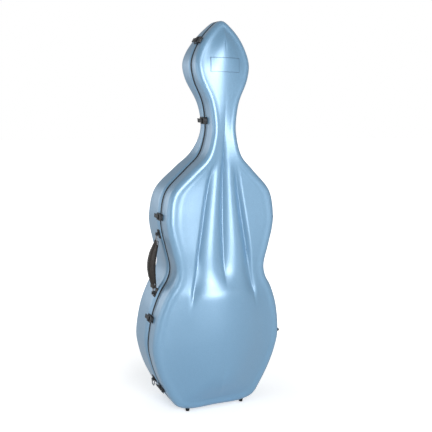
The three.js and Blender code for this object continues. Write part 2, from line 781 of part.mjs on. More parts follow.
function latchKeeper(frame) {
  const half = latchWidth / 2;
  const block = armStart - keeperSideGap;
  const margin = 2 * gap;
  return seated(join(box([-overrun, -keeperReach, -half], [latchBaseThickness, -shellStart, half]),
    box([0, margin - keeperReach, -block], [keeperTop, -shellStart - margin, block])), frame);
}

// Key cylinder that turns in the lowest latch's claw
function lockCylinder() {
  const top = clawUnder + lockHeight;
  const slot = box([top - keySlot, lockDepth - lockRadius / 2, -keySlot / 2],
    [top + overrun, lockDepth + lockRadius / 2, keySlot / 2]);
  return cut(rod('x', lockRadius, clawUnder, top, [0, lockDepth, 0]), slot);
}

function latches() {
  return latchHeights.map((height, i) => {
    const frame = flankFrame(-1, height);
    const locked = i === latchHeights.length - 1;
    const holeEnd = clawUnder + 2 * lockHeight;
    const hole = bore('x', lockRadius + gap, 0, holeEnd, [0, lockDepth, 0], roundSegments);
    const claw = locked ? cut(latchClaw(), hole) : latchClaw();
    const meshes = [named(`latch_base_${i + 1}`, latchBase(frame), finishes.latch),
      named(`latch_lever_${i + 1}`, latchLever(), finishes.latch),
      named(`latch_claw_${i + 1}`, claw, finishes.latch),
      named(`latch_keeper_${i + 1}`, latchKeeper(frame), finishes.latch)];
    if (locked) meshes.push(named('lock_cylinder', lockCylinder(), finishes.steel));
    return placed(frame, ...meshes);
  });
}

// Wire loop in the x-y plane: a straight bar along y at the origin, arms leaning in to a short tip
function wireLoop(barLength, reach, tipLength) {
  const corners = [[0, -barLength / 2], [0, barLength / 2], [reach, tipLength / 2], [reach, -tipLength / 2]];
  const line = corners.map(([x, y]) => new THREE.Vector3(x, y, 0));
  const rings = line.map((p, i) => {
    const before = line[(i + line.length - 1) % line.length].clone().sub(p).normalize();
    const after = line[(i + 1) % line.length].clone().sub(p).normalize();
    const inwards = before.clone().add(after).normalize();
    const stretch = 1 / Math.sin(before.angleTo(after) / 2);
    const ring = [];
    for (let k = 0; k < pinSegments; k += 1) {
      const turn = (2 * Math.PI * (k + 0.5)) / pinSegments;
      const q = p.clone().addScaledVector(inwards, wireRadius * stretch * Math.cos(turn));
      ring.push(q.setZ(wireRadius * Math.sin(turn)));
    }
    return ring;
  });
  return loft(rings, true);
}

// Handle frame: z up the line through both eyes, y to the back, x into the case
const handleEyes = [handleLowerHeight, handleUpperHeight].map((height) => {
  const eye = new THREE.Vector3(handleStandoff, 0, 0);
  return eye.applyMatrix4(flankFrame(-1, height, handleDepth));
});
const handleUp = handleEyes[1].clone().sub(handleEyes[0]).normalize();
const handleSpan = handleEyes[0].distanceTo(handleEyes[1]);
const handleFrame = basisAt(handleEyes[0].clone().add(handleEyes[1]).divideScalar(2),
  backwards.clone().cross(handleUp), backwards);
const handleBar = handleSpan / 2 - eyeLength / 2 - gap - wireRadius - handleRingReach;

// Bracket in the handle frame: a strip seated on the flank and a lug with an upright bore
function handleBracket(end) {
  const centre = (end * handleSpan) / 2;
  const reach = handleStandoff + overrun;
  const [low, high] = [centre - eyeLength / 2, centre + eyeLength / 2];
  const lug = join(rod('z', eyeRadius, low, high), box([0, -eyeRadius, low], [reach, eyeRadius, high]));
  const flank = flankFrame(-1, end > 0 ? handleUpperHeight : handleLowerHeight, handleDepth);
  const strip = box([-2 * overrun, -bracketWidth / 2, -bracketLength / 2],
    [plateThickness, bracketWidth / 2, bracketLength / 2]);
  strip.applyMatrix4(flank).applyMatrix4(handleFrame.clone().invert());
  const eye = bore('z', wireRadius + gap, low - overrun, high + overrun);
  return cut(seated(join(lug, strip), handleFrame), eye);
}

// Ring at one end: a bar through the grip, arms to a tip, and a headed stud that turns in the lug
function handleRing(end) {
  const loop = wireLoop(handleRingWidth, handleRingReach, handleRingTip);
  const bar = new THREE.Vector3(0, 0, end * handleBar);
  loop.applyMatrix4(basisAt(bar, new THREE.Vector3(0, 0, end), backwards));
  const tip = end * (handleBar + handleRingReach);
  const lugEnd = end * (handleSpan / 2 + eyeLength / 2 + gap);
  const headEnd = lugEnd + end * studHead;
  const stem = rod('z', wireRadius, Math.min(tip, headEnd), Math.max(tip, headEnd), [0, 0, 0], pinSegments);
  const head = rod('z', studHeadRadius, Math.min(lugEnd, headEnd), Math.max(lugEnd, headEnd));
  return join(loop, stem, head);
}

// Grip: an oval section carried along a bowed line, pierced by the ring bars
function handleGrip() {
  const steps = 10;
  const reach = handleBar + 2.2 * wireRadius;
  const rings = [];
  for (let s = 0; s <= steps; s += 1) {
    const share = s / steps;
    const bow = Math.sin(Math.PI * share);
    const fullness = blend(gripEndShare, 1, bow ** 0.6);
    const z = blend(-reach, reach, share);
    const ring = [];
    for (let k = 0; k < roundSegments; k += 1) {
      const turn = (2 * Math.PI * k) / roundSegments;
      ring.push(new THREE.Vector3((gripThickness / 2) * fullness * Math.cos(turn) - handleBulge * bow,
        (gripWidth / 2) * fullness * Math.sin(turn), z));
    }
    rings.push(ring);
  }
  const cap = (ring) => ring.map(() => new THREE.Vector3(0, 0, ring[0].z));
  const body = loft([cap(rings[0]), ...rings, cap(rings[steps])], false);
  const barHole = (end) => bore('y', wireRadius + gap, -gripWidth, gripWidth, [0, 0, end * handleBar]);
  return cut(body, barHole(-1), barHole(1));
}

function handle() {
  return placed(handleFrame,
    named('handle_bracket_lower', handleBracket(-1), finishes.latch),
    named('handle_bracket_upper', handleBracket(1), finishes.latch),
    named('handle_ring_lower', handleRing(-1), finishes.steel),
    named('handle_ring_upper', handleRing(1), finishes.steel),
    named('handle_grip', handleGrip(), finishes.leather));
}

// Strap ring in its own frame: the bar runs along y at the origin, the loop hangs along x
function strapRing() {
  return wireLoop(strapRingWidth, strapRingReach, strapRingTip);
}

// Plate and lug for a strap ring, before trimming to its seat; x points away from the case
function strapPlate() {
  const half = strapEyeLength / 2;
  const plate = box([-strapRingStandoff - 2 * overrun, -strapPlateWidth / 2, -strapPlateLength / 2],
    [plateThickness - strapRingStandoff, strapPlateWidth / 2, strapPlateLength / 2]);
  const lug = join(rod('y', strapEyeRadius, -half, half),
    box([-strapRingStandoff, -half, -strapEyeRadius], [0, half, strapEyeRadius]));
  return cut(join(plate, lug), bore('y', wireRadius + gap, -strapPlateWidth, strapPlateWidth));
}

// Two rings low on the flanks of the back shell, which hang plumb
function lowerStrapRings() {
  return [-1, 1].flatMap((side) => {
    const name = side < 0 ? 'left' : 'right';
    const flank = flankFrame(side, lowerRingHeight, lowerRingDepth);
    const out = new THREE.Vector3().setFromMatrixColumn(flank, 0);
    const centre = new THREE.Vector3(strapRingStandoff, 0, 0).applyMatrix4(flank);
    const seat = basisAt(centre, out, backwards);
    const plumb = basisAt(centre, new THREE.Vector3(0, 0, -1), backwards);
    return [placed(seat, named(`strap_plate_lower_${name}`, seated(strapPlate(), seat), finishes.latch)),
      placed(plumb, named(`strap_ring_lower_${name}`, strapRing(), finishes.steel))];
  });
}

// One ring on the back, below the neck, which lies along the slope that it is mounted on
function upperStrapRing() {
  const skin = envelope(back, -gap, fineTurns, backFace);
  const [low, high] = [-1, 1].map((step) => {
    const height = upperRingHeight + (step * strapPlateLength) / 2;
    return new THREE.Vector3(0, surfaceDepth(skin, 0, height), height);
  });
  const down = low.clone().sub(high).normalize();
  const across = new THREE.Vector3(1, 0, 0);
  const out = across.clone().cross(down);
  const centre = low.clone().add(high).divideScalar(2).addScaledVector(out, strapRingStandoff);
  const seat = basisAt(centre, out, across);
  const plate = cut(strapPlate(), skin.clone().applyMatrix4(seat.clone().invert()));
  return [placed(seat, named('strap_plate_upper', plate, finishes.latch)),
    placed(basisAt(centre, down, across), named('strap_ring_upper', strapRing(), finishes.steel))];
}

// Depth at which an upright needle leaves a solid, measured away from the seam
function surfaceDepth(solid, x, z) {
  const needle = rod('y', gap, -2 * backDepth, 2 * backDepth, [x, 0, z], pinSegments);
  const pierced = common(solid, needle);
  pierced.computeBoundingBox();
  const { min, max } = pierced.boundingBox;
  return Math.abs(min.y) > Math.abs(max.y) ? min.y : max.y;
}

// Foam bolster across the back shell: two pads on a web, trimmed to the hollow in the lining
function bolster(hollow, spacing, height) {
  const x = spacing / 2;
  const half = padLength / 2;
  const floor = surfaceDepth(hollow, x, height);
  const [near, far] = [x - padWidth / 2, x + padWidth / 2];
  const block = box([-far, floor - padThickness, height - half], [far, backDepth, height + half]);
  const between = box([-near, 0, height - padLength], [near, floor - padWeb, height + padLength]);
  return common(cut(block, between), hollow);
}

// Foam bolster in the bottom of the back shell: a block with the endpin's hole and a wing each side
function endBolster(hollow) {
  const x = endBlockWidth / 2;
  const floor = surfaceDepth(hollow, x, endWingTop);
  const block = box([-x, endBlockFront, 0], [x, backDepth, endBlockTop]);
  const wings = [-1, 1].map((side) => box([side * (x - overrun), floor - padThickness, 0],
    [side * (x + padWidth), backDepth, endWingTop]));
  const holeFloor = endBlockTop - endpinHoleDepth;
  const hole = rod('z', endpinHoleRadius, holeFloor, 2 * endBlockTop, [0, endpinDepth, 0]);
  return common(cut(join(block, ...wings), hole), hollow);
}

// Foam and webbing in the back shell that hold the instrument at its neck, bouts and endpin
function backPadding() {
  const hollow = envelope(back, liningSkin + gap, coarseTurns, backFace);
  const half = cradleLength / 2;
  const block = box([-cradleWidth / 2, cradleFront, cradleHeight - half],
    [cradleWidth / 2, backDepth, cradleHeight + half]);
  const [under, over] = [cradleHeight - cradleLength, cradleHeight + cradleLength];
  const cradle = cut(block, rod('z', cradleNotchRadius, under, over, [0, cradleFront - gap, 0]));
  const strap = box([-cradleWidth / 2, cradleFront - gap, cradleHeight - strapWidth / 2],
    [cradleWidth / 2, cradleFront - gap - strapThickness, cradleHeight + strapWidth / 2]);
  return [
    named('neck_cradle', common(cradle, hollow), finishes.lining),
    named('neck_strap', common(strap, hollow), finishes.webbing),
    named('upper_bolster', bolster(hollow, upperPadSpacing, upperPadHeight), finishes.lining),
    named('lower_bolster', endBolster(hollow), finishes.lining),
  ];
}

// Bow holders in the lid: one sleeve for both tips, and one base with a turning clip for each frog
function bowHolders() {
  const at = (skin) => envelope(lid, liningSkin + gap + skin, coarseTurns, lidLiningFace);
  const hollow = at(0);
  const x = bowSpacing / 2;
  const half = bowPocketWidth / 2;
  const [low, high] = [bowTipHeight - bowPocketLength / 2, bowTipHeight + bowPocketLength / 2];
  const layer = cut(hollow, at(bowPocketDepth));
  const inside = cut(at(pocketWall), at(bowPocketDepth - pocketWall));
  const rooms = [-x, x].map((at0) => common(box([at0 - half, 0, low - overrun],
    [at0 + half, -lidDepth, high - pocketWall]), inside));
  const margin = half + pocketWall;
  const sleeve = common(box([-x - margin, 0, low], [x + margin, -lidDepth, high]), layer);
  const floor = surfaceDepth(hollow, x, bowClipHeight) + bowPadHeight;
  const front = floor + 2 * gap + bowClipThickness;
  const foot = box([-x - bowPadRadius, -lidDepth, bowClipHeight - bowPadRadius],
    [x + bowPadRadius, floor, bowClipHeight + bowPadRadius]);
  const studs = [-x, x].flatMap((across) => {
    const centre = [across, 0, bowClipHeight];
    return [rod('y', bowStudRadius, floor - gap, front + gap, centre, pinSegments),
      rod('y', 2 * bowStudRadius, front, front + bowStudRadius, centre)];
  });
  const clips = [-1, 1].map((side) => {
    const seat = new THREE.Matrix4().makeTranslation(side * x, floor + gap, bowClipHeight);
    return placed(seat, named(`bow_clip_${side < 0 ? 'left' : 'right'}`, bowClip(), finishes.latch));
  });
  return [named('bow_tip_sleeve', cut(sleeve, ...rooms), finishes.lining),
    named('bow_clip_base', join(common(foot, hollow), ...studs), finishes.latch), ...clips];
}

// Turning bar that holds a bow's frog, with its stud hole at the origin
function bowClip() {
  const half = bowClipLength / 2 - bowClipWidth / 2;
  const body = join(box([-half, 0, -bowClipWidth / 2], [half, bowClipThickness, bowClipWidth / 2]),
    rod('y', bowClipWidth / 2, 0, bowClipThickness, [-half, 0, 0]),
    rod('y', bowClipWidth / 2, 0, bowClipThickness, [half, 0, 0]));
  return cut(body, bore('y', bowStudRadius + gap, -overrun, bowClipThickness + overrun));
}

// Bare badge field: a thin plate that follows the front of the head
function badge() {
  const at = (skin) => envelope(lid, -skin, fineTurns, lidFace);
  const sheet = cut(at(gap + badgeThickness), at(gap));
  const [x, z] = [badgeWidth / 2, badgeHeight / 2];
  const field = box([-x, -headWidth / 4, badgeCentreHeight - z], [x, -lidDepth, badgeCentreHeight + z]);
  return named('badge_plate', common(sheet, field), finishes.shell);
}

const part = new THREE.Group();
part.add(...shells(), ...rims(), ...hinges(), ...latches(), handle());
part.add(...lowerStrapRings(), ...upperStrapRing());
part.add(...feet('lid', -lidFootDepth), ...feet('back', backFootDepth), ...sideFeet());
part.add(...backPadding(), ...bowHolders(), badge());

// The middle of the overall depth lies over the origin
part.position.y = (lidDepth - backDepth) / 2;

export default part;
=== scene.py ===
"""Looks of the cello hard case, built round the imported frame.

Metres in the row frame: the case stands on its feet at z = 0, the lid faces -Y, the latches are at -X.
Shapes are worked out in millimetres, as the outline and the depths of the shells are given, and scaled once.
"""
import json
import math

import bmesh
import bpy
import numpy as np
from mathutils import Matrix, Vector
from mathutils.bvhtree import BVHTree


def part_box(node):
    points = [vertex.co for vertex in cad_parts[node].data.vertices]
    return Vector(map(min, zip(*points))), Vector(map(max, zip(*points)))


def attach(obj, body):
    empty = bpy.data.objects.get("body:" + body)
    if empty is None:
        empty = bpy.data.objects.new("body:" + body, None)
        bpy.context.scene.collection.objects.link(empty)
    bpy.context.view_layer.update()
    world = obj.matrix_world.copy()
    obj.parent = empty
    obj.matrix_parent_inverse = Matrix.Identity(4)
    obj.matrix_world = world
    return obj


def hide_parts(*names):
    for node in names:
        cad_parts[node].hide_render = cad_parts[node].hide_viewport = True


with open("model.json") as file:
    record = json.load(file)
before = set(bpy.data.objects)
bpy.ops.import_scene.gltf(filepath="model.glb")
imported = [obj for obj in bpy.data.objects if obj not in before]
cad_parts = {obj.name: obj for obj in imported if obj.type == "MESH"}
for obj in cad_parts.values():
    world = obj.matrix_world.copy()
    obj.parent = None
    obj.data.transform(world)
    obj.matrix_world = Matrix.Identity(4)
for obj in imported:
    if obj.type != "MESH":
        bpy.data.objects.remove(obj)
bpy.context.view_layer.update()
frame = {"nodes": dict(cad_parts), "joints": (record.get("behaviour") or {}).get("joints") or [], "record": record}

MM = 0.001
JOINTS = {joint["name"]: joint for joint in frame["joints"]}

# Outline and depths, in millimetres

CASE_HEIGHT = 1340.0
SEAM_Y = -18.0
LID_DEPTH, BACK_DEPTH = 126.0, 162.0
LID_CORNER, BACK_CORNER = 24.0, 36.0
CHANNEL_WIDTH, CHANNEL_DEPTH = 14.0, 0.5
FLUTE_DEPTH, FLUTE_RUN_OUT, BANK_WIDTH = 17.0, 60.0, 17.0
FLUTE_TOP, FLUTE_END = 905.0, 480.0
NECK_SPREAD, BRIDGE_SPREAD = 37.0, 106.0
CREASE_SOFTNESS, FLUTE_POWER, LIP_SHARE = 0.09, 0.75, 0.04
WALL, LINING, GAP = 3.0, 6.0, 0.3
SHELL_START, ROLL = 5.65, 2.5
RIM_INSETS, RIM_SPAN, RIM_ROUNDING = (-0.25, 7.0), (0.75, 5.35), 1.2
SEAL_INSETS, SEAL_SPAN, SEAL_ROUNDING = (0.4, 7.0), (-0.6, 0.6), 0.4
NECK_HEIGHT, HEAD_HEIGHT = 998, 1203
STATIONS = 440

# (full width, height) of the stations between which the shares below run
KEYS = [(0, 10), (482, 258), (329, 515), (399, 692), (87, NECK_HEIGHT), (196, HEAD_HEIGHT),
        (0, CASE_HEIGHT)]
SPAN_SHARES = [
    [(0.41, 0), (0.613, 0.064), (0.724, 0.212), (0.881, 0.512), (0.977, 0.812)],
    [(0.2, 0.404), (0.58, 0.698), (0.876, 0.843)],
    [(0.463, 0.417), (0.877, 0.737)],
    [(0.099, 0.276), (0.543, 0.519), (0.853, 0.68), (0.981, 0.883)],
    [(0.227, 0.376), (0.845, 0.741)],
    [(0.214, 0.43), (0.617, 0.81)],
]
# (share of the case height, share of the shell's full depth)
LID_EDGE_SHARES = [
    (0, 0.45), (0.06, 0.452), (0.149, 0.49), (0.224, 0.524), (0.299, 0.575), (0.358, 0.625),
    (0.418, 0.63), (0.478, 0.597), (0.522, 0.565), (0.567, 0.52), (0.6, 0.508), (0.627, 0.522),
    (0.649, 0.555), (0.672, 0.582), (0.7, 0.575), (0.746, 0.54), (0.806, 0.49), (0.836, 0.452),
    (0.866, 0.41), (0.896, 0.375), (0.925, 0.345), (0.955, 0.325), (0.985, 0.28), (1, 0.24),
]
LID_CREST_SHARES = [
    (0, 0.698), (0.045, 0.746), (0.09, 0.802), (0.134, 0.869), (0.179, 0.933), (0.224, 0.98), (0.261, 0.994),
    (0.299, 0.994), (0.322, 0.988), (0.333, 0.963), (0.345, 0.912), (0.358, 0.862), (0.373, 0.808),
    (0.388, 0.77), (0.407, 0.742), (0.448, 0.69), (0.485, 0.643), (0.522, 0.599), (0.56, 0.563),
    (0.597, 0.54), (0.634, 0.528), (0.672, 0.526), (0.716, 0.526), (0.791, 0.516), (0.836, 0.508),
    (0.881, 0.504), (0.914, 0.497), (0.933, 0.476), (0.951, 0.42), (0.97, 0.35), (0.985, 0.302), (1, 0.262),
]
FLUTE_SHARES = [
    (0, 0), (0.321, 0), (0.34, 0.048), (0.354, 0.19), (0.369, 0.452), (0.384, 0.69), (0.403, 0.857),
    (0.425, 0.952), (0.463, 1), (0.522, 1), (0.582, 0.9), (0.627, 0.72), (0.657, 0.55),
    (0.687, 0.36), (0.716, 0.2), (0.754, 0.08), (0.806, 0.015), (0.843, 0), (1, 0),
]
BACK_EDGE_SHARES = [
    (0, 0.88), (0.06, 0.92), (0.15, 0.965), (0.224, 0.97), (0.42, 0.96), (0.478, 0.93), (0.522, 0.87),
    (0.567, 0.81), (0.597, 0.77), (0.627, 0.73), (0.649, 0.68), (0.672, 0.59), (0.694, 0.47),
    (0.716, 0.37), (0.746, 0.33), (0.776, 0.352), (0.806, 0.426), (0.836, 0.512), (0.866, 0.586),
    (0.896, 0.617), (0.925, 0.574), (0.955, 0.457), (0.985, 0.36), (1, 0.33),
]
BACK_CREST_SHARES = [(0, 0.91), (0.1, 0.97), (0.2, 1)]
BACK_CREST_SHARES += [(height, share + 0.035) for height, share in BACK_EDGE_SHARES[4:-3]]
BACK_CREST_SHARES += [(0.955, 0.5), (0.985, 0.4), (1, 0.37)]


def blend(a, b, share):
    """a at share 0 and b at share 1."""
    return a + (b - a) * share


def smooth_periodic(values, length, sigma):
    """Periodic low pass with the response 2g - g*g of a Gaussian g, which keeps arcs at their radius."""
    wave = np.fft.fftfreq(len(values), length / len(values))
    g = np.exp(-2 * (math.pi * wave * sigma) ** 2)[:, None]
    return np.real(np.fft.ifft(np.fft.fft(values, axis=0) * (2 * g - g * g), axis=0))


def closed_curve(points, per_span=48):
    """Closed centripetal Catmull-Rom curve through points (n, 2)."""
    p = [np.roll(points, shift, axis=0) for shift in (1, 0, -1, -2)]
    d = [np.linalg.norm(p[k + 1] - p[k], axis=1)[:, None] ** 0.5 for k in range(3)]
    start = ((p[1] - p[0]) / d[0] - (p[2] - p[0]) / (d[0] + d[1]) + (p[2] - p[1]) / d[1]) * d[1]
    end = ((p[2] - p[1]) / d[1] - (p[3] - p[1]) / (d[1] + d[2]) + (p[3] - p[2]) / d[2]) * d[1]
    t = (np.arange(per_span) / per_span)[None, :, None]
    a, b, u, v = (q[:, None, :] for q in (p[1], p[2], start, end))
    curve = a + u * t + (3 * (b - a) - 2 * u - v) * t ** 2 + (2 * (a - b) + u + v) * t ** 3
    return curve.reshape(-1, 2)


def even_samples(curve, count):
    """Closed curve resampled at even lengths, and its total length."""
    ring = np.vstack([curve, curve[:1]])
    arc = np.concatenate([[0], np.cumsum(np.linalg.norm(np.diff(ring, axis=0), axis=1))])
    at = np.linspace(0, arc[-1], count, endpoint=False)
    return np.column_stack([np.interp(at, arc, ring[:, k]) for k in range(2)]), arc[-1]


def case_outline():
    """Stations (x, z) round the case from the bottom centre up the right side, and the length round it."""
    right = []
    for (w0, h0), (w1, h1), shares in zip(KEYS, KEYS[1:], SPAN_SHARES):
        for across, up in [(0, 0)] + shares:
            right.append((blend(w0, w1, across) / 2, blend(h0, h1, up)))
    right.append((0, CASE_HEIGHT))
    left = [(-x, z) for x, z in right[-2:0:-1]]
    even, length = even_samples(closed_curve(np.array(right + left, float)), 4000)
    smooth = smooth_periodic(even, length, 9.0)
    mirror = np.roll(smooth[::-1], 1, axis=0) * (-1, 1)
    return even_samples((smooth + mirror) / 2, STATIONS)


OUTLINE, AROUND = case_outline()
ALONG = np.roll(OUTLINE, -1, axis=0) - np.roll(OUTLINE, 1, axis=0)
ALONG /= np.linalg.norm(ALONG, axis=1)[:, None]
OUTWARD = np.column_stack([ALONG[:, 1], -ALONG[:, 0]])
MIRROR = np.minimum(np.arange(STATIONS), STATIONS - np.arange(STATIONS))


def table(rows, full=1.0):
    """Function of the height from a table of shares of a full value: a monotone cubic through the rows,
    then a Gaussian mean over 10 mm."""
    at, value = np.array(rows, float).T
    slope = np.diff(value) / np.diff(at)
    tangent = np.zeros(len(at))
    before, after = slope[:-1], slope[1:]
    same = before * after > 0
    tangent[1:-1][same] = 2 * before[same] * after[same] / (before[same] + after[same])
    heights = np.arange(0, CASE_HEIGHT + 1)
    share = heights / CASE_HEIGHT
    i = np.clip(np.searchsorted(at, share, side="right") - 1, 0, len(at) - 2)
    span = at[i + 1] - at[i]
    t = (share - at[i]) / span
    y = blend(value[i], value[i + 1], t * t * (3 - 2 * t))
    y += span * t * (1 - t) * ((1 - t) * tangent[i] - t * tangent[i + 1])
    reach, sigma = 30, 10.0
    kernel = np.exp(-0.5 * (np.arange(-reach, reach + 1) / sigma) ** 2)
    kernel /= kernel.sum()
    y = np.convolve(np.pad(y, reach, mode="edge"), kernel, mode="valid")
    return lambda z: np.interp(z, heights, full * y)


lid_edge, lid_crest = table(LID_EDGE_SHARES, LID_DEPTH), table(LID_CREST_SHARES, LID_DEPTH)
back_edge, back_crest = table(BACK_EDGE_SHARES, BACK_DEPTH), table(BACK_CREST_SHARES, BACK_DEPTH)
flute_depth = table(FLUTE_SHARES, FLUTE_DEPTH)


def smooth_max(a, b, width):
    """The larger of two values, by a hyperbola that rounds the change over a width."""
    return (a + b + np.hypot(a - b, width)) / 2


def spine_heights():
    """Height on the centre line that each station's ray runs to: the station's own, held between a low and
    a high end from which the rays of the case's two ends fan out."""
    arc = MIRROR * AROUND / STATIONS
    z = OUTLINE[:, 1]
    fan = 0.3
    low = 0.1 * CASE_HEIGHT + fan * arc
    high = 0.955 * CASE_HEIGHT - fan * (AROUND / 2 - arc)
    width = 0.03 * CASE_HEIGHT
    return -smooth_max(-smooth_max(z, low, width), -high, width)


SPINE = spine_heights()


def smoothstep(x, low, high):
    """0 below low, 1 above high, and between them the cubic that is level at both ends."""
    t = np.clip((x - low) / (high - low), 0, 1)
    return t * t * (3 - 2 * t)


def flute_spread(z):
    """Distance of the outer creases from the centre line."""
    run = np.clip((FLUTE_TOP - z) / (FLUTE_TOP - FLUTE_END), 0, 1.3)
    return blend(NECK_SPREAD, BRIDGE_SPREAD, run)


def groove(x, z):
    """Depth lost to three creases with two round flutes between them. Each flute rises as a power of a
    half sine whose ends are softened. Outside the outer creases a narrow parabolic bank rises to a lip
    that stands a little proud of the panel."""
    spread = flute_spread(z)
    u = np.abs(x) / spread
    rise = np.hypot(np.sin(math.pi * np.minimum(u, 1)), CREASE_SOFTNESS) - CREASE_SOFTNESS
    round_share = (rise / (math.hypot(1, CREASE_SOFTNESS) - CREASE_SOFTNESS)) ** FLUTE_POWER
    beyond = np.maximum(np.abs(x) - spread, 0)
    bank = 1 - np.clip(1 - beyond / BANK_WIDTH, 0, 1) ** 2
    lip = LIP_SHARE * bank * (1 - smoothstep(beyond, 0, 1.2 * spread))
    full = np.where(u < 1, round_share, bank + lip)
    return flute_depth(z + FLUTE_RUN_OUT * np.minimum(u, 1) ** 2) * (1 - full)


class Shell:
    """One of the two shells, as the depths of its edge and of its crest over the seam plane."""

    def __init__(self, side, corner, edge, crest, fluted):
        self.side, self.edge, self.crest, self.fluted = side, edge, crest, fluted
        room = np.hypot(OUTLINE[:, 0], OUTLINE[:, 1] - SPINE)
        self.radius = corner * room / (room + corner)

    def point(self, inset, depth):
        """Ring of points moved in from the outline and out from the seam plane."""
        xz = OUTLINE - OUTWARD * np.broadcast_to(inset, STATIONS)[:, None]
        y = SEAM_Y + self.side * np.broadcast_to(depth, STATIONS)
        return np.column_stack([xz[:, 0], y, xz[:, 1]])

    def rings(self, skin, flank_steps, corner_steps, channel_steps, face_steps, start=SHELL_START):
        """Rings from the seam to the spine at a skin depth. The flank is straight and the corner a quarter
        circle. From there each station's ray runs to the spine, and its depth goes from the edge's to the
        crest's as a squared sine, less the groove and a shallow channel along the corner."""
        edge = self.edge(OUTLINE[:, 1])
        small = np.maximum(self.radius - skin, 0.2 * self.radius)
        top = edge - self.radius
        made = [self.point(skin, blend(start, top, s))
                for s in np.linspace(0, 1, flank_steps, endpoint=False)]
        for turn in np.linspace(0, math.pi / 2, corner_steps):
            inset = self.radius - small * math.cos(turn)
            made.append(self.point(inset, top + (self.radius - skin) * math.sin(turn)))
        begin = OUTLINE - OUTWARD * self.radius[:, None]
        end = np.column_stack([np.zeros(STATIONS), SPINE])
        length = np.linalg.norm(end - begin, axis=1)
        channel = np.minimum(CHANNEL_WIDTH / length, 0.25)
        runs = [2 * channel * s for s in np.linspace(0, 1, channel_steps + 1)[1:]]
        runs += [blend(2 * channel, 1, s) for s in np.linspace(0, 1, face_steps + 1)[1:]]
        for t in runs:
            xz = blend(begin, end, t[:, None])
            depth = blend(edge, self.crest(SPINE), np.sin(math.pi / 2 * t ** 0.8) ** 2)
            if self.fluted:
                depth = depth - groove(xz[:, 0], xz[:, 1]) * smoothstep(t, channel, 5 * channel)
                below_head = 1 - smoothstep(xz[:, 1], NECK_HEIGHT, HEAD_HEIGHT)
                hollow = CHANNEL_DEPTH * channel * length / CHANNEL_WIDTH * below_head
                depth = depth - hollow * np.sin(math.pi * np.minimum(t / (2 * channel), 1)) ** 2
            made.append(np.column_stack([xz[:, 0], SEAM_Y + self.side * (depth - skin), xz[:, 1]]))
        return made


LID = Shell(-1, LID_CORNER, lid_edge, lid_crest, True)
BACK = Shell(1, BACK_CORNER, back_edge, back_crest, False)


# Meshes

def linked(name, data):
    """Object in the scene that shows a mesh, a lamp or a camera."""
    obj = bpy.data.objects.new(name, data)
    bpy.context.scene.collection.objects.link(obj)
    return obj


def ring_faces(rings, sides, cyclic=False):
    """Quads between neighbouring closed rings of points, and from the last ring to the first if cyclic."""
    near = np.arange(rings if cyclic else rings - 1)[:, None] * sides
    far = (near + sides) % (rings * sides)
    index = np.arange(sides)
    after = (index + 1) % sides
    return np.stack([near + index, near + after, far + after, far + index], axis=2).reshape(-1, 4).tolist()


def bmesh_of(verts, faces):
    """Editable mesh of points and faces."""
    mesh = bpy.data.meshes.new("raw")
    mesh.from_pydata(verts, [], faces)
    made = bmesh.new()
    made.from_mesh(mesh)
    bpy.data.meshes.remove(mesh)
    return made


def smooth_mesh(name, made):
    """Smooth-shaded mesh of an editable one, which is freed."""
    mesh = bpy.data.meshes.new(name)
    made.to_mesh(mesh)
    made.free()
    mesh.shade_smooth()
    return mesh


def loft(name, node, rings, folded=True):
    """Surface through rings of equal length, for a node. The end rings are welded to themselves across the
    centre line if folded, and else to each other."""
    surface = bmesh_of((np.concatenate(rings) * MM).tolist(), ring_faces(len(rings), STATIONS, not folded))
    if folded:
        made = list(surface.verts)
        bmesh.ops.remove_doubles(surface, verts=made[:STATIONS] + made[-STATIONS:], dist=0.02 * MM)
    bmesh.ops.recalc_face_normals(surface, faces=surface.faces)
    return dress(linked(name, smooth_mesh(name, surface)), node)


def dress(obj, node, material=None, stands=True):
    """obj rides with the CAD node's body, has the finish of its slot or a material of its own, and stands
    for the node."""
    obj.data.materials.append(material or SLOTS[SLOT_OF[node]])
    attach(obj, BODY_OF[node])
    if stands:
        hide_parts(node)
    return obj


# Materials

def srgb(code):
    """Linear RGBA of a colour written as an sRGB hex code."""
    channels = [int(code[k:k + 2], 16) / 255 for k in (1, 3, 5)]
    return tuple(c / 12.92 if c <= 0.04045 else ((c + 0.055) / 1.055) ** 2.4 for c in channels) + (1.0,)


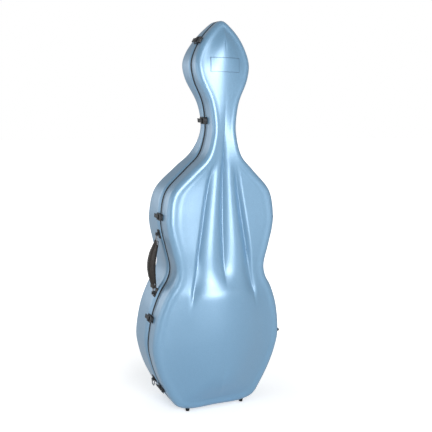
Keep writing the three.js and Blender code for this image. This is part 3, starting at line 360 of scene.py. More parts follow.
class Finish:
    """A procedural material: a Principled shader with helpers that feed its colour, roughness and bump."""

    def __init__(self, name, **sockets):
        self.material = bpy.data.materials.new(name)
        self.material.use_nodes = True
        self.nodes, self.links = self.material.node_tree.nodes, self.material.node_tree.links
        self.shader = next(n for n in self.nodes if n.type == "BSDF_PRINCIPLED")
        for key, value in sockets.items():
            self.shader.inputs[key.replace("_", " ")].default_value = value
        self.place = self.nodes.new("ShaderNodeTexCoord").outputs["Object"]
        self.height = None

    def node(self, kind, inputs=(), **settings):
        """A node with its settings, whose inputs are values or other nodes' sockets."""
        made = self.nodes.new(kind)
        for key, value in settings.items():
            setattr(made, key, value)
        for key, value in dict(inputs).items():
            if isinstance(value, bpy.types.NodeSocket):
                self.links.new(value, made.inputs[key])
            else:
                made.inputs[key].default_value = value
        return made

    def noise(self, size_mm, detail=2.0, rough=0.5):
        return self.node("ShaderNodeTexNoise", {"Vector": self.place, "Scale": 1 / (size_mm * MM),
                                                "Detail": detail, "Roughness": rough}).outputs["Fac"]

    def cells(self, size_mm):
        """Distance from the borders of cells of a size."""
        return self.node("ShaderNodeTexVoronoi", {"Vector": self.place, "Scale": 1 / (size_mm * MM)},
                         feature="DISTANCE_TO_EDGE").outputs["Distance"]

    def remap(self, value, low, high, to_low=0.0, to_high=1.0):
        return self.node("ShaderNodeMapRange", {"Value": value, "From Min": low, "From Max": high,
                                                "To Min": to_low, "To Max": to_high}).outputs["Result"]

    def math(self, operation, a, b=0.0):
        return self.node("ShaderNodeMath", {0: a, 1: b}, operation=operation).outputs[0]

    def mix(self, factor, a, b):
        """Colour a at factor 0 and b at factor 1, each a socket or a hex code. Sockets 0, 6 and 7 are the
        factor and the two colours."""
        a, b = (srgb(colour) if isinstance(colour, str) else colour for colour in (a, b))
        return self.node("ShaderNodeMix", {0: factor, 6: a, 7: b}, data_type="RGBA").outputs[2]

    def paint(self, factor, a, b):
        """Base colour that goes from a to b."""
        self.feed("Base Color", self.mix(factor, a, b))

    def gloss(self, patches, low, high):
        """Roughness that varies in patches between two values."""
        self.feed("Roughness", self.remap(patches, 0.3, 0.7, low, high))

    def edges(self, low=0.52, high=0.6):
        """1 on convex edges, where finishes wear."""
        return self.remap(self.node("ShaderNodeNewGeometry").outputs["Pointiness"], low, high)

    def feed(self, socket, value):
        self.links.new(value, self.shader.inputs[socket])

    def bump(self, height, depth_mm, strength=1.0):
        """Adds relief of a depth in millimetres for heights from 0 to 1."""
        inputs = {"Height": height, "Distance": depth_mm * MM, "Strength": strength}
        if self.height is not None:
            inputs["Normal"] = self.height
        self.height = self.node("ShaderNodeBump", inputs).outputs["Normal"]
        self.feed("Normal", self.height)


def metallic_enamel(name, light, dark, roughness):
    """Satin metallic enamel sprayed on the shells, under a clear coat: a tinted sheen, white highlights, a
    faint orange peel and uneven gloss. Real flakes are finer. They are drawn at 0.9 mm, so that they show."""
    f = Finish(name, Metallic=0.35, Coat_Weight=1.0, Coat_Roughness=0.38, Coat_IOR=1.8)
    flakes = f.noise(0.9, 1.0, 0.4)
    cloud = f.noise(160, 2.0, 0.5)
    f.paint(f.remap(cloud, 0.3, 0.7, 0.0, 0.12), f.mix(f.remap(flakes, 0.35, 0.65), dark, light), light)
    f.gloss(f.noise(70, 3.0, 0.6), roughness - 0.03, roughness + 0.04)
    f.bump(f.noise(5, 1.0, 0.4), 0.02, 0.5)
    return f.material


def edge_profile(name):
    """Navy-black moulded edge profile along the seam."""
    f = Finish(name, Roughness=0.5, Specular_IOR_Level=0.3)
    f.paint(f.remap(f.noise(18, 3.0), 0.35, 0.7), "#0b1119", "#141d28")
    f.bump(f.noise(1.4, 2.0), 0.04, 0.6)
    return f.material


def rubber(name):
    """Moulded black rubber: matt, and slightly dusty on its edges."""
    f = Finish(name, Roughness=0.78, Specular_IOR_Level=0.35)
    dust = f.math("MULTIPLY", f.edges(0.5, 0.62), f.noise(6, 3.0))
    f.paint(dust, "#141516", "#34363a")
    f.bump(f.noise(0.7, 2.0), 0.05, 0.6)
    return f.material


def powder_coat(name):
    """Black powder-coated zinc of the latches and brackets, rubbed to grey on its edges."""
    f = Finish(name, Metallic=0.25, Specular_IOR_Level=0.5)
    worn = f.math("MULTIPLY", f.edges(0.53, 0.62), f.remap(f.noise(3, 4.0), 0.4, 0.62))
    f.paint(worn, "#17191c", "#5a5d61")
    f.gloss(f.noise(9, 3.0), 0.34, 0.48)
    f.bump(f.noise(0.5, 1.0), 0.03, 0.5)
    return f.material


def nickel(name):
    """Nickel-plated steel wire and hinge parts, with light tarnish."""
    f = Finish(name, Metallic=1.0)
    f.paint(f.remap(f.noise(7, 4.0, 0.6), 0.42, 0.68), "#a9acb1", "#77797d")
    f.gloss(f.noise(2.5, 3.0), 0.22, 0.38)
    f.bump(f.noise(0.4, 2.0), 0.01, 0.5)
    return f.material


def grained_leather(name):
    """Black-brown grained leather of the grip, paler where hands rub it."""
    f = Finish(name, Specular_IOR_Level=0.4)
    grain = f.remap(f.cells(1.5), 0.0, 0.22)
    rubbed = f.math("MULTIPLY", f.remap(f.noise(22, 3.0), 0.35, 0.7), f.remap(f.noise(3, 3.0), 0.3, 0.7))
    f.paint(grain, "#1b1714", f.mix(rubbed, "#241e1a", "#40372f"))
    f.gloss(f.noise(12, 2.0), 0.46, 0.6)
    f.bump(grain, 0.12, 0.8)
    f.bump(f.noise(6, 2.0), 0.3, 0.4)
    return f.material


def plush(name, dark, light):
    """Short-pile plush glued over the foam: a soft sheen and brushed patches. Its pile is drawn at 0.8 mm, so
    that it shows."""
    f = Finish(name, Roughness=0.95, Specular_IOR_Level=0.1, Sheen_Weight=0.6, Sheen_Roughness=0.45)
    f.shader.inputs["Sheen Tint"].default_value = srgb("#9db4cf")
    pile = f.noise(0.8, 2.0, 0.6)
    brushed = f.remap(f.noise(45, 3.0, 0.55), 0.38, 0.64)
    f.paint(f.math("MULTIPLY", brushed, pile), dark, light)
    f.bump(pile, 0.35, 0.8)
    f.bump(f.noise(14, 2.0), 1.2, 0.25)
    return f.material


def woven(name, dark, light, thread_mm):
    """Woven nylon webbing: crossed threads with a slight sheen."""
    f = Finish(name, Roughness=0.75, Specular_IOR_Level=0.3, Sheen_Weight=0.2)
    split = f.node("ShaderNodeSeparateXYZ", {"Vector": f.place}).outputs
    turn = 2 * math.pi / (thread_mm * MM)
    warp = f.math("SINE", f.math("MULTIPLY", split["X"], turn))
    weft = f.math("SINE", f.math("MULTIPLY", split["Z"], turn))
    weave = f.remap(f.math("MULTIPLY", warp, weft), -1, 1)
    f.paint(weave, dark, light)
    f.bump(weave, 0.25, 0.8)
    return f.material


CASE_BLUE = ("#709dbe", "#5f8dae", 0.42)
SLOTS = {
    "shell_paint": metallic_enamel("blue_metallic_enamel", *CASE_BLUE),
    "rim_plastic": edge_profile("seam_edge_profile"),
    "rubber": rubber("black_rubber"),
    "latch_metal": powder_coat("black_powder_coat"),
    "steel": nickel("nickel_steel"),
    "leather": grained_leather("grip_leather"),
    "lining_plush": plush("navy_plush", "#16263a", "#2c4766"),
    "webbing": woven("black_webbing", "#101214", "#2b2e33", 1.6),
    "nylon": powder_coat("black_nylon"),
}
BODY_OF = {node: body for body, nodes in frame["record"]["behaviour"]["bodies"].items() for node in nodes}
SLOT_OF = {part["node"]: part["material_slot"] for part in frame["record"]["subparts"]}


# Shells, linings, rims and seal

def shell_solid(name, node, shell):
    """Closed moulding: the fine outer surface, the plain inner one, and the edge between them."""
    outer = shell.rings(0.0, 3, 12, 10, 50)
    inner = shell.rings(WALL, 1, 4, 4, 26)
    return loft(name, node, outer[::-1] + inner)


def lining_solid(name, node, shell):
    """Foam and plush inside a shell, rolled over at the seam."""
    outer = shell.rings(WALL + GAP, 1, 4, 4, 26)
    inner = shell.rings(WALL + GAP + LINING, 3, 8, 6, 30, start=SHELL_START + ROLL)
    half = LINING / 2
    roll = [shell.point(WALL + GAP + half - half * math.cos(a), SHELL_START + ROLL - ROLL * math.sin(a))
            for a in np.linspace(0, math.pi, 9)]
    return loft(name, node, outer[::-1] + roll + inner)


def band(name, node, insets, depths, rounding):
    """Band round the case whose section is a rectangle with rounded outer corners."""
    (i0, i1), (d0, d1) = insets, depths
    section = [(i1, d0)]
    for centre, start in ((d0 + rounding, -math.pi / 2), (d1 - rounding, 0)):
        for a in np.linspace(start, start + math.pi / 2, 5):
            section.append((i0 + rounding - rounding * math.cos(a), centre + rounding * math.sin(a)))
    section.append((i1, d1))
    return loft(name, node, [BACK.point(inset, depth) for inset, depth in section], folded=False)


shell_solid("back_shell_moulding", "back_shell", BACK)
lid_shell = shell_solid("lid_shell_moulding", "lid_shell", LID)
for part, shell in (("back", BACK), ("lid", LID)):
    lining_solid(f"{part}_plush_lining", f"{part}_lining", shell)
for part, side in (("back", 1), ("lid", -1)):
    span = sorted(side * depth for depth in RIM_SPAN)
    band(f"{part}_edge_profile", f"{part}_rim", RIM_INSETS, span, RIM_ROUNDING)
band("rubber_seal", "seam_seal", SEAL_INSETS, SEAL_SPAN, SEAL_ROUNDING)


# Fittings, each modelled in its own frame in millimetres

AXES = {"z": lambda a, b, h: (a, b, h), "x": lambda a, b, h: (h, a, b), "y": lambda a, b, h: (b, h, a)}
BACKWARDS = Vector((0, 1, 0))
LEVEL = (Vector((1, 0, 0)), BACKWARDS)


def both(low, high):
    """A span and its mirror image."""
    return (-high, -low), (low, high)


def even_angles(count):
    """Angles of evenly spaced points round a circle."""
    return np.arange(count) * 2 * math.pi / count


def circle(a, b, radius, sides=24):
    """Circle as a polygon."""
    return [(a + radius * math.cos(t), b + radius * math.sin(t)) for t in even_angles(sides)]


def rounded_box(a0, a1, b0, b1, radius, steps=4):
    """Rectangle with round corners, as a polygon."""
    left, right, low, high = a0 + radius, a1 - radius, b0 + radius, b1 - radius
    points = []
    for quarter, (a, b) in enumerate(((right, high), (left, high), (left, low), (right, low))):
        for t in np.linspace(quarter, quarter + 1, steps + 1) * math.pi / 2:
            points.append((a + radius * math.cos(t), b + radius * math.sin(t)))
    return points


def rounded_path(corners, radius, steps=6):
    """Closed path through corners, each cut back by a radius and rounded."""
    path = []
    count = len(corners)
    for k, corner in enumerate(corners):
        p = np.array(corner, float)
        ends = [np.array(corners[(k + d) % count], float) - p for d in (-1, 1)]
        start, end = (p + e / np.linalg.norm(e) * radius for e in ends)
        for t in np.linspace(0, 1, steps + 1):
            path.append((1 - t) ** 2 * start + 2 * t * (1 - t) * p + t ** 2 * end)
    return path


def where_rays_leave(polygon, centre, angles):
    """Points at which rays from a centre leave a polygon that is star-shaped round it."""
    p = np.array(polygon, float) - centre
    q = np.roll(p, -1, axis=0) - p
    d = np.column_stack([np.cos(angles), np.sin(angles)])
    across = np.outer(d[:, 0], q[:, 1]) - np.outer(d[:, 1], q[:, 0])
    across = np.where(np.abs(across) < 1e-12, 1e-12, across)
    reach = (p[:, 0] * q[:, 1] - p[:, 1] * q[:, 0]) / across
    share = (np.outer(d[:, 1], p[:, 0]) - np.outer(d[:, 0], p[:, 1])) / across
    hit = (reach > 0) & (share > -1e-6) & (share < 1 + 1e-6)
    return centre + d * np.where(hit, reach, np.inf).min(axis=1)[:, None]


class Build:
    """Solids drawn in one frame in millimetres, each with its sharp edges rounded, joined in one mesh."""

    def __init__(self, origin, x, y):
        self.place = Matrix((x, y, x.cross(y))).transposed().to_4x4()
        self.place.translation = origin
        self.mesh = bmesh.new()

    def solid(self, verts, faces, rounding=0.0):
        """Adds a closed solid. Edges that turn by more than 35 degrees are rounded over a width."""
        one = bmesh_of(verts, faces)
        bmesh.ops.remove_doubles(one, verts=one.verts, dist=1e-4)
        bmesh.ops.recalc_face_normals(one, faces=one.faces)
        if rounding:
            sharp = [e for e in one.edges if e.calc_face_angle(0.0) > math.radians(35)]
            bmesh.ops.bevel(one, geom=sharp, offset=rounding, segments=2, profile=0.5, affect="EDGES",
                            clamp_overlap=True)
        self.add(one)

    def add(self, solids):
        """Joins an editable mesh to the build."""
        kept = smooth_mesh("kept", solids)
        self.mesh.from_mesh(kept)
        bpy.data.meshes.remove(kept)

    def prism(self, polygon, low, high, axis="z", rounding=0.5, hole=None):
        """Polygon in the two axes after the named one, drawn out along it. A hole is a second polygon."""
        turn = AXES[axis]
        if hole is None:
            n = len(polygon)
            verts = [turn(a, b, low) for a, b in polygon] + [turn(a, b, high) for a, b in polygon]
            faces = [list(range(n)), list(range(n, 2 * n))]
            faces += [[k, (k + 1) % n, n + (k + 1) % n, n + k] for k in range(n)]
            return self.solid(verts, faces, rounding)
        centre = np.mean(hole, axis=0)
        corners = list(polygon) + list(hole)
        angles = sorted({round(math.atan2(b - centre[1], a - centre[0]), 5) for a, b in corners})
        outer, inner = (where_rays_leave(shape, centre, angles) for shape in (polygon, hole))
        n = len(angles)
        verts = [turn(a, b, h) for ring in (outer, inner) for h in (low, high) for a, b in ring]
        faces = []
        for k in range(n):
            j = (k + 1) % n
            for a, b in ((0, n), (2 * n, 3 * n), (0, 2 * n), (n, 3 * n)):
                faces.append([a + k, a + j, b + j, b + k])
        return self.solid(verts, faces, rounding)

    def box(self, x, y, z, rounding=0.5):
        """Block between two places on each axis."""
        corners = [(x[0], y[0]), (x[1], y[0]), (x[1], y[1]), (x[0], y[1])]
        self.prism(corners, z[0], z[1], rounding=rounding)

    def lathe(self, profile, centre=(0, 0, 0), axis="z", sides=24):
        """Profile of (radius, place along the axis) turned round it. It is closed on itself unless both ends
        are on the axis."""
        r, h = np.array(profile, float).T[:, :, None]
        angles = even_angles(sides)
        turned = AXES[axis](r * np.cos(angles), r * np.sin(angles), h + 0 * angles)
        verts = np.stack(turned, axis=2).reshape(-1, 3) + centre
        on_axis = profile[0][0] == 0 and profile[-1][0] == 0
        self.solid(verts.tolist(), ring_faces(len(profile), sides, not on_axis))

    def rod(self, radius, low, high, centre=(0, 0, 0), axis="z", bore=0.0, soft=0.4, sides=24):
        """Round bar or, with a bore, a bush. Its edges are broken over a soft width."""
        edge = [(1, 0), (0.3, 0.3), (0, 1)]
        profile = [(radius - soft * a, low + soft * b) for a, b in edge]
        profile += [(radius - soft * a, high - soft * b) for a, b in edge[::-1]]
        if bore:
            profile += [(bore, high), (bore, low)]
        else:
            profile = [(0, low)] + profile + [(0, high)]
        self.lathe(profile, centre, axis, sides)

    def rivet(self, radius, x, y, z):
        """Domed rivet head whose seat is at x."""
        sunk, rim = -1.0, 0.25
        dome = [(0, sunk), (radius, sunk), (radius, rim)]
        dome += [(radius * math.cos(t), rim + 0.5 * radius * math.sin(t))
                 for t in np.linspace(0.3, math.pi / 2, 5)]
        dome[-1] = (0, dome[-1][1])
        self.lathe(dome, (x, y, z), "x", 16)

    def tube(self, path, radius, sides=12):
        """Wire along a closed path in the plane of x and y."""
        p = np.array(path, float)
        along = np.roll(p, -1, axis=0) - np.roll(p, 1, axis=0)
        along /= np.linalg.norm(along, axis=1)[:, None]
        up = np.array((0.0, 0.0, 1.0))
        side = np.cross(along, up)
        angles = even_angles(sides)
        ring = side[:, None] * np.cos(angles)[None, :, None] + up * np.sin(angles)[None, :, None]
        verts = (p[:, None] + radius * ring).reshape(-1, 3).tolist()
        self.solid(verts, ring_faces(len(p), sides, True))

    def take(self, other):
        """Adds another build's solids, moved into this frame."""
        other.mesh.transform(self.place.inverted() @ other.place)
        self.add(other.mesh)

    def made(self, name, node, material=None, stands=True):
        """The finished piece: it rides with the CAD node's body and stands for the node."""
        self.mesh.transform(Matrix.Scale(MM, 4) @ self.place)
        obj = dress(linked(name, smooth_mesh(name, self.mesh)), node, material, stands)
        obj.modifiers.new("normals", "WEIGHTED_NORMAL").keep_sharp = True


def flank(side, height, y):
    """Frame on the flank at a height: x outwards, y to the back."""
    other_side = OUTLINE[:, 0] * side < 0
    k = int(np.argmin(np.abs(OUTLINE[:, 1] - height) + CASE_HEIGHT * other_side))
    x = Vector((OUTWARD[k, 0], 0, OUTWARD[k, 1]))
    origin = Vector((OUTLINE[k, 0], y, OUTLINE[k, 1]))
    origin += Vector((ALONG[k, 0], 0, ALONG[k, 1])) * ((height - OUTLINE[k, 1]) / ALONG[k, 1])
    return origin, x, BACKWARDS


# Places in a latch's frame: x outwards from the flank, y to the back from the seam, z along the seam
LEVER_PIN, CLAW_PIN = (6.5, 8), (8, 16)
PIN, PIN_BORE, EYE = 1.5, 1.8, 3.6
PLATE_HALF, PLATE_TOP = 11, 2.2
CLAW_FACE, CLAW_TOP, CLAW_MIDDLE = 7.7, 10.5, -15.125
LEVER_HALF, LEVER_CORE, EAR_HALF = 7, 4.7, 8.7


def latch(n):
    """Draw latch: base plate with ears and pin, lever with a ridged tail, claw on two arms, keeper with its
    block. The lowest one has a lock cylinder in its claw."""
    joint = JOINTS[f"lever_{n}_pivot"]
    x = Vector(joint["axis"]).cross(BACKWARDS)
    seat = (Vector(joint["pos_m"]) / MM - LEVER_PIN[0] * x - LEVER_PIN[1] * BACKWARDS, x, BACKWARDS)
    locked = n == 5

    base = Build(*seat)
    base.prism(rounded_box(SHELL_START, 32, -PLATE_HALF, PLATE_HALF, 2.5), -2.5, PLATE_TOP, "x")
    for ear in both(7.3, EAR_HALF):
        base.box((0, LEVER_PIN[0]), (SHELL_START, 11.6), ear, 0.3)
        base.rod(EYE, *ear, (*LEVER_PIN, 0), soft=0.3)
    base.rod(PIN, -EAR_HALF, EAR_HALF, (*LEVER_PIN, 0), sides=16)
    for across in (-9, 9):
        base.rivet(1.7, PLATE_TOP, 28.5, across)
    base.made(f"latch_{n}_base_plate", f"latch_base_{n}")

    tail = [(9.85, 9.2), (10.6, 11.6), (10.6, 37.6), (10, 39), (8.4, 39), (8.4, 23.2), (9.85, 22)]
    core = [(8.9, 8), (10.1, 9), (10, 12), (10, 23.4), (8.4, 23.2), (4.7, 19.6), (3.62, 10.2), (4.9, 9.9),
            (6.5, 10.4), (8.3, 9.7)]
    cheek = [(8.9, 9), (9.9, 9.2), (9.9, 22), (9.4, 23), (8.4, 23.2), (4.7, 19.6), (4.2, 11.6), (5.2, 10.6),
             (7.5, 10.5)]
    lever = Build(*seat)
    lever.rod(EYE, -LEVER_HALF, LEVER_HALF, (*LEVER_PIN, 0), bore=PIN_BORE)
    lever.prism(tail, -LEVER_HALF, LEVER_HALF, rounding=0.6)
    for ridge in (31.5, 33.9, 36.3):
        lever.rod(0.75, -5.6, 5.6, (10.25, ridge, 0), sides=12)
    lever.prism(core, -LEVER_CORE, LEVER_CORE, rounding=0.3)
    for span in both(LEVER_CORE, LEVER_HALF):
        lever.prism(cheek, *span, rounding=0, hole=circle(*CLAW_PIN, 1.75))
    lever.made(f"latch_{n}_lever_arm", f"latch_lever_{n}")

    arm = [(CLAW_FACE, -12.8), (CLAW_TOP, -12.8), (CLAW_TOP, 16), (5.5, 16), (5.4, 1), (7, -3)]
    claw = Build(*seat)
    plate = rounded_box(-21, -9.25, -PLATE_HALF, PLATE_HALF, 2.2)
    claw.prism(plate, CLAW_FACE, CLAW_TOP, "x", hole=circle(CLAW_MIDDLE, 0, 4.6, 32) if locked else None)
    if not locked:
        claw.prism(rounded_box(-18.8, -11.2, -6.5, 6.5, 1.5), 10.2, 11, "x", 0.4)
    for span, pin_span in zip(both(9, PLATE_HALF), both(5.1, 10.9)):
        claw.prism(arm, *span, rounding=0.4)
        claw.rod(2.5, *span, (*CLAW_PIN, 0))
        claw.rod(PIN, *pin_span, (*CLAW_PIN, 0), sides=16)
    claw.made(f"latch_{n}_claw_plate", f"latch_claw_{n}")

    keeper = Build(*seat)
    keeper.prism(rounded_box(-21, -SHELL_START, -PLATE_HALF, PLATE_HALF, 2), -2.5, PLATE_TOP, "x")
    keeper.box((0, 7.4), (-20.4, -6.25), (-7.8, 7.8), 0.9)
    for across in (-9.3, 9.3):
        keeper.rivet(1.4, PLATE_TOP, -13.5, across)
    keeper.made(f"latch_{n}_keeper_block", f"latch_keeper_{n}")

    if locked:
        lock = Build(*seat)
        lock.rod(4.3, CLAW_FACE, 11.5, (0, CLAW_MIDDLE, 0), "x", sides=32)
        slot = [(CLAW_MIDDLE + a, b) for a, b in ((-2.2, -0.6), (2.2, -0.6), (2.2, 0.6), (-2.2, 0.6))]
        lock.prism(circle(CLAW_MIDDLE, 0, 4.1, 32), 11.2, 12.5, "x", 0.35, slot)
        lock.made("lock_cylinder_face", "lock_cylinder")


RING_WIRE, RING_BEND, RING_BORE = 2.0, 4.0, 2.35


def wire_ring(build, bar, reach, tip):
    """Loop of wire: a straight bar along y at the origin and arms that lean in to a short tip."""
    corners = [(0, -bar / 2, 0), (0, bar / 2, 0), (reach, tip / 2, 0), (reach, -tip / 2, 0)]
    build.tube(rounded_path(corners, min(RING_BEND, 0.45 * tip)), RING_WIRE)


def handle():
    """Grip on two wire rings whose studs turn in the brackets."""
    joint = JOINTS["handle_swing"]
    z = Vector(joint["axis"])
    x = BACKWARDS.cross(z)
    centre = Vector(joint["pos_m"]) / MM
    lean_rise, head_beyond_lug, bar_to_lug = 0.24, 6.9, 34.3
    half = (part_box("handle_ring_upper")[1].z / MM - lean_rise - centre.z) / z.z - head_beyond_lug
    bar = half - bar_to_lug
    reach, stud, head = 27, 41.2, 39.6
    for end, name in ((-1, "lower"), (1, "upper")):
        up = z * end
        origin = centre + up * half
        lug = Build(origin, x, BACKWARDS)
        lug.rod(5, -5, 5, bore=RING_BORE)
        lug.box((2.6, 12), (-5, 5), (-5, 5))
        plate = Build(*flank(-1, origin.z, centre.y))
        plate.prism(rounded_box(-10, 10, -16, 16, 4), -3.5, 3, "x", 0.8)
        for up_by in (-12, 12):
            plate.rivet(2.6, 3, 0, up_by)
        lug.take(plate)
        lug.made(f"handle_{name}_bracket_lug", f"handle_bracket_{name}")

        ring = Build(centre + up * bar, up, BACKWARDS)
        wire_ring(ring, 26, reach, 5)
        ring.rod(RING_WIRE, reach, stud, axis="x", sides=16)
        ring.rod(4, head, stud, axis="x", soft=0.5)
        ring.made(f"handle_{name}_wire_ring", f"handle_ring_{name}")
    grip(centre, x, bar + 4.4)


GRIP_DEEP, GRIP_WIDE, GRIP_BOW, GRIP_POWER = 13.5, 15.5, 12.0, 2.7


def grip_line(share):
    """Bow of the grip, a half sine along it, and its fullness, which is thinner at the ends."""
    bow = np.sin(math.pi * share)
    return GRIP_BOW * bow, blend(blend(0.62, 0.5, share), 1, bow ** 0.6)


def grip(centre, x, reach):
    """Padded leather grip: a superellipse carried along the bow, creased near both ends, stitched along its
    edges and folded round the ring bars."""
    steps, sides = 56, 40
    share = np.arange(steps + 1)[:, None] / steps
    c, s = np.cos(even_angles(sides)), np.sin(even_angles(sides))
    bow, fullness = grip_line(share)
    crease = 1 - 0.05 * np.exp(-((np.abs(share - 0.5) - 0.36) / 0.012) ** 2)
    size = fullness * crease * (np.abs(c) ** GRIP_POWER + np.abs(s) ** GRIP_POWER) ** (-1 / GRIP_POWER)
    along = blend(-reach, reach, share) + 0 * c
    verts = np.stack([GRIP_DEEP * size * c - bow, GRIP_WIDE * size * s, along], axis=2).reshape(-1, 3)
    faces = ring_faces(steps + 1, sides)
    faces += [list(range(sides)), list(range(steps * sides, (steps + 1) * sides))]
    body = Build(centre, x, BACKWARDS)
    body.solid(verts.tolist(), faces, 2.2)
    stitch, stitch_half = 0.55, 1.4
    for edge in (-1, 1):
        for share in np.linspace(0.17, 0.83, 27):
            bow, fullness = grip_line(share)
            spot = (-GRIP_DEEP * fullness * 0.93 - bow, edge * GRIP_WIDE * fullness * 0.62,
                    blend(-reach, reach, share))
            body.rod(stitch, -stitch_half, stitch_half, spot, sides=8)
    body.box((-7, 7), (-13, 13), (-reach - 12, -reach + 5), 2.0)
    body.box((-5.5, 5.5), (-9.5, 9.5), (reach - 5, reach + 7), 1.6)
    body.made("handle_grip_leather", "handle_grip")


HINGE_HALF, HINGE_CENTRE_HALF, KNUCKLE, HINGE_PIN, HINGE_BORE = 23, 9, 4.5, 2, 2.3
LEAF_EDGE, LEAF_BACK, LEAF_FACE = 24, -9.5, -4.6


def hinge(end):
    """Butt hinge: a leaf on each shell, three knuckles and a headed pin."""
    joint = JOINTS["lid_hinge"]
    z = Vector(joint["axis"])
    x = BACKWARDS.cross(z)
    on_axis = Vector(joint["pos_m"]) / MM
    low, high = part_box(f"hinge_pin_{end}")
    head = 2
    middle = (low + high) / 2 / MM - head / 2 * z
    seat = (on_axis + z * (middle - on_axis).dot(z), x, BACKWARDS)
    knuckles = {"back": [(-HINGE_CENTRE_HALF, HINGE_CENTRE_HALF)],
                "lid": both(HINGE_CENTRE_HALF + GAP, HINGE_HALF)}
    for side, which in ((1, "back"), (-1, "lid")):
        leaf = Build(*seat)
        y0, y1 = sorted((side * SHELL_START, side * LEAF_EDGE))
        leaf.prism(rounded_box(y0, y1, -HINGE_HALF, HINGE_HALF, 2.5), LEAF_BACK, LEAF_FACE, "x")
        web = sorted((side * 2.6, side * 8.65))
        for span in knuckles[which]:
            leaf.box((-4.9, -0.4), web, span, 0.3)
            leaf.rod(KNUCKLE, *span, bore=HINGE_BORE)
        for up in (-15, 0, 15):
            leaf.rivet(2.2, LEAF_FACE, side * 17, up)
        leaf.made(f"hinge_{end}_{which}_plate", f"hinge_leaf_{which}_{end}")
    pin = Build(*seat)
    under_head = HINGE_HALF + GAP
    pin.rod(HINGE_PIN, -under_head, under_head + 0.1)
    pin.rod(3, under_head, under_head + head, soft=0.7)
    pin.made(f"hinge_{end}_pin_rod", f"hinge_pin_{end}")


def strap_fitting(name, seat, hang):
    """Plate with a lug, and a wire ring that turns in it. seat is the lug's frame, hang the ring's."""
    plate = Build(*seat)
    plate.prism(rounded_box(-12, 12, -13, 13, 3), -12, -4, "x", 0.7)
    plate.rod(4, -8, 8, axis="y", bore=RING_BORE)
    plate.box((-5, -2.6), (-8, 8), (-4, 4), 0.3)
    for up in (-8.6, 8.6):
        plate.rivet(2.0, -4, 0, up)
    plate.made(f"strap_fitting_{name}_plate", f"strap_plate_{name}")
    ring = Build(*hang)
    wire_ring(ring, 30, 20, 16)
    ring.made(f"strap_fitting_{name}_ring", f"strap_ring_{name}")


def strap_fittings():
    """A fitting low on each flank, and one on the back below the neck, which lies on the slope there."""
    for side, name in ((-1, "left"), (1, "right")):
        centre = Vector(JOINTS[f"ring_lower_{name}_swing"]["pos_m"]) / MM
        seat = flank(side, centre.z, centre.y)
        strap_fitting(f"lower_{name}", (centre, *seat[1:]), (centre, Vector((0, 0, -1)), BACKWARDS))
    centre = Vector(JOINTS["ring_upper_swing"]["pos_m"]) / MM
    below, above = 14.6, 11.4
    drop = float(back_crest(centre.z - below) - back_crest(centre.z + above))
    down = Vector((0, drop, -(below + above))).normalized()
    across = LEVEL[0]
    strap_fitting("upper", (centre, across.cross(down), across), (centre, down, across))


def stud(name, node, seat, axis, radius, tip, low, high):
    """Tapered rubber stud with a rounded tread, drawn towards its tip."""
    foot = Build(*seat)
    step = math.copysign(1, high - low)
    profile = [(0, low), (radius, low), (radius, low + 1.2 * step), (radius - 0.5, low + 2 * step)]
    profile += [(tip, high - 1.6 * step), (tip - 0.5, high - 0.6 * step), (tip - 1.6, high)]
    profile += [(0.5 * tip, high), (0.5 * tip - 0.6, high - 0.6 * step), (0, high - 0.6 * step)]
    foot.lathe(profile, axis=axis, sides=32)
    foot.made(name, node)


def feet():
    """Two studs under each shell, and two on the hinge side of the lid."""
    for side, where in ((-1, "left"), (1, "right")):
        for shell, y in (("lid", -53), ("back", 64)):
            seat = (Vector((side * 105, y, 0)), *LEVEL)
            stud(f"{shell}_foot_{where}_stud", f"{shell}_foot_{where}", seat, "z", 8, 6.8, 11.8, 0)
    for where, height in (("lower", 0.1918), ("upper", 0.5075)):
        seat = flank(1, height * CASE_HEIGHT, -56)
        stud(f"side_foot_{where}_stud", f"lid_side_foot_{where}", seat, "x", 7, 5.6, -2, 9.6)


def badge():
    """Bare plate on the head that follows the lid, with a bezel whose darker enamel is painted shade: the shadow
    line round the plate's edge.
    """
    tree = BVHTree.FromObject(lid_shell, bpy.context.evaluated_depsgraph_get())
    centre, (w, h) = 0.8933 * CASE_HEIGHT, (104.0, 47.0)
    in_front, sunk = -300, 0.2

    def lid_y(x, z):
        """Place of the lid's outer face at x and z, found by a ray from the front."""
        return tree.ray_cast(Vector((x, in_front, z)) * MM, BACKWARDS)[0].y / MM

    def panel(name, steps, inset, proud, material, stands):
        """Plate on a grid over the lid, between a proud and a sunk skin."""
        build = Build(Vector((0, 0, 0)), *LEVEL)
        nx, nz = steps
        xs = np.linspace(-w / 2 + inset, w / 2 - inset, nx)
        zs = np.linspace(centre - h / 2 + inset, centre + h / 2 - inset, nz)
        verts = [(x, lid_y(x, z) - out, z) for out in (proud, sunk) for z in zs for x in xs]
        index = np.arange(nx * nz).reshape(nz, nx)
        near, far = index[:-1], index[1:]
        skin = np.stack([near[:, :-1], near[:, 1:], far[:, 1:], far[:, :-1]], axis=2).reshape(-1, 4)
        rim = np.concatenate([index[0], index[1:, -1], index[-1, -2::-1], index[-2:0:-1, 0]])
        after = np.roll(rim, -1)
        edge = np.column_stack([rim, after, after + nx * nz, rim + nx * nz])
        faces = np.vstack([skin, skin + nx * nz, edge]).tolist()
        build.solid(verts, faces, 0.4)
        build.made(name, "badge_plate", material, stands)

    # The bezel's darker blue is painted shade, the shadow line round the plate's edge, not a colour of its own.
    bezel = metallic_enamel("badge_bezel_painted_shade", "#42698a", "#385e7e", 0.4)
    panel("badge_bezel", (53, 25), 0.0, 1.2, bezel, False)
    panel("badge_face_plate", (49, 23), 1.6, 1.7, metallic_enamel("badge_enamel", *CASE_BLUE), True)


# Padding and holders inside

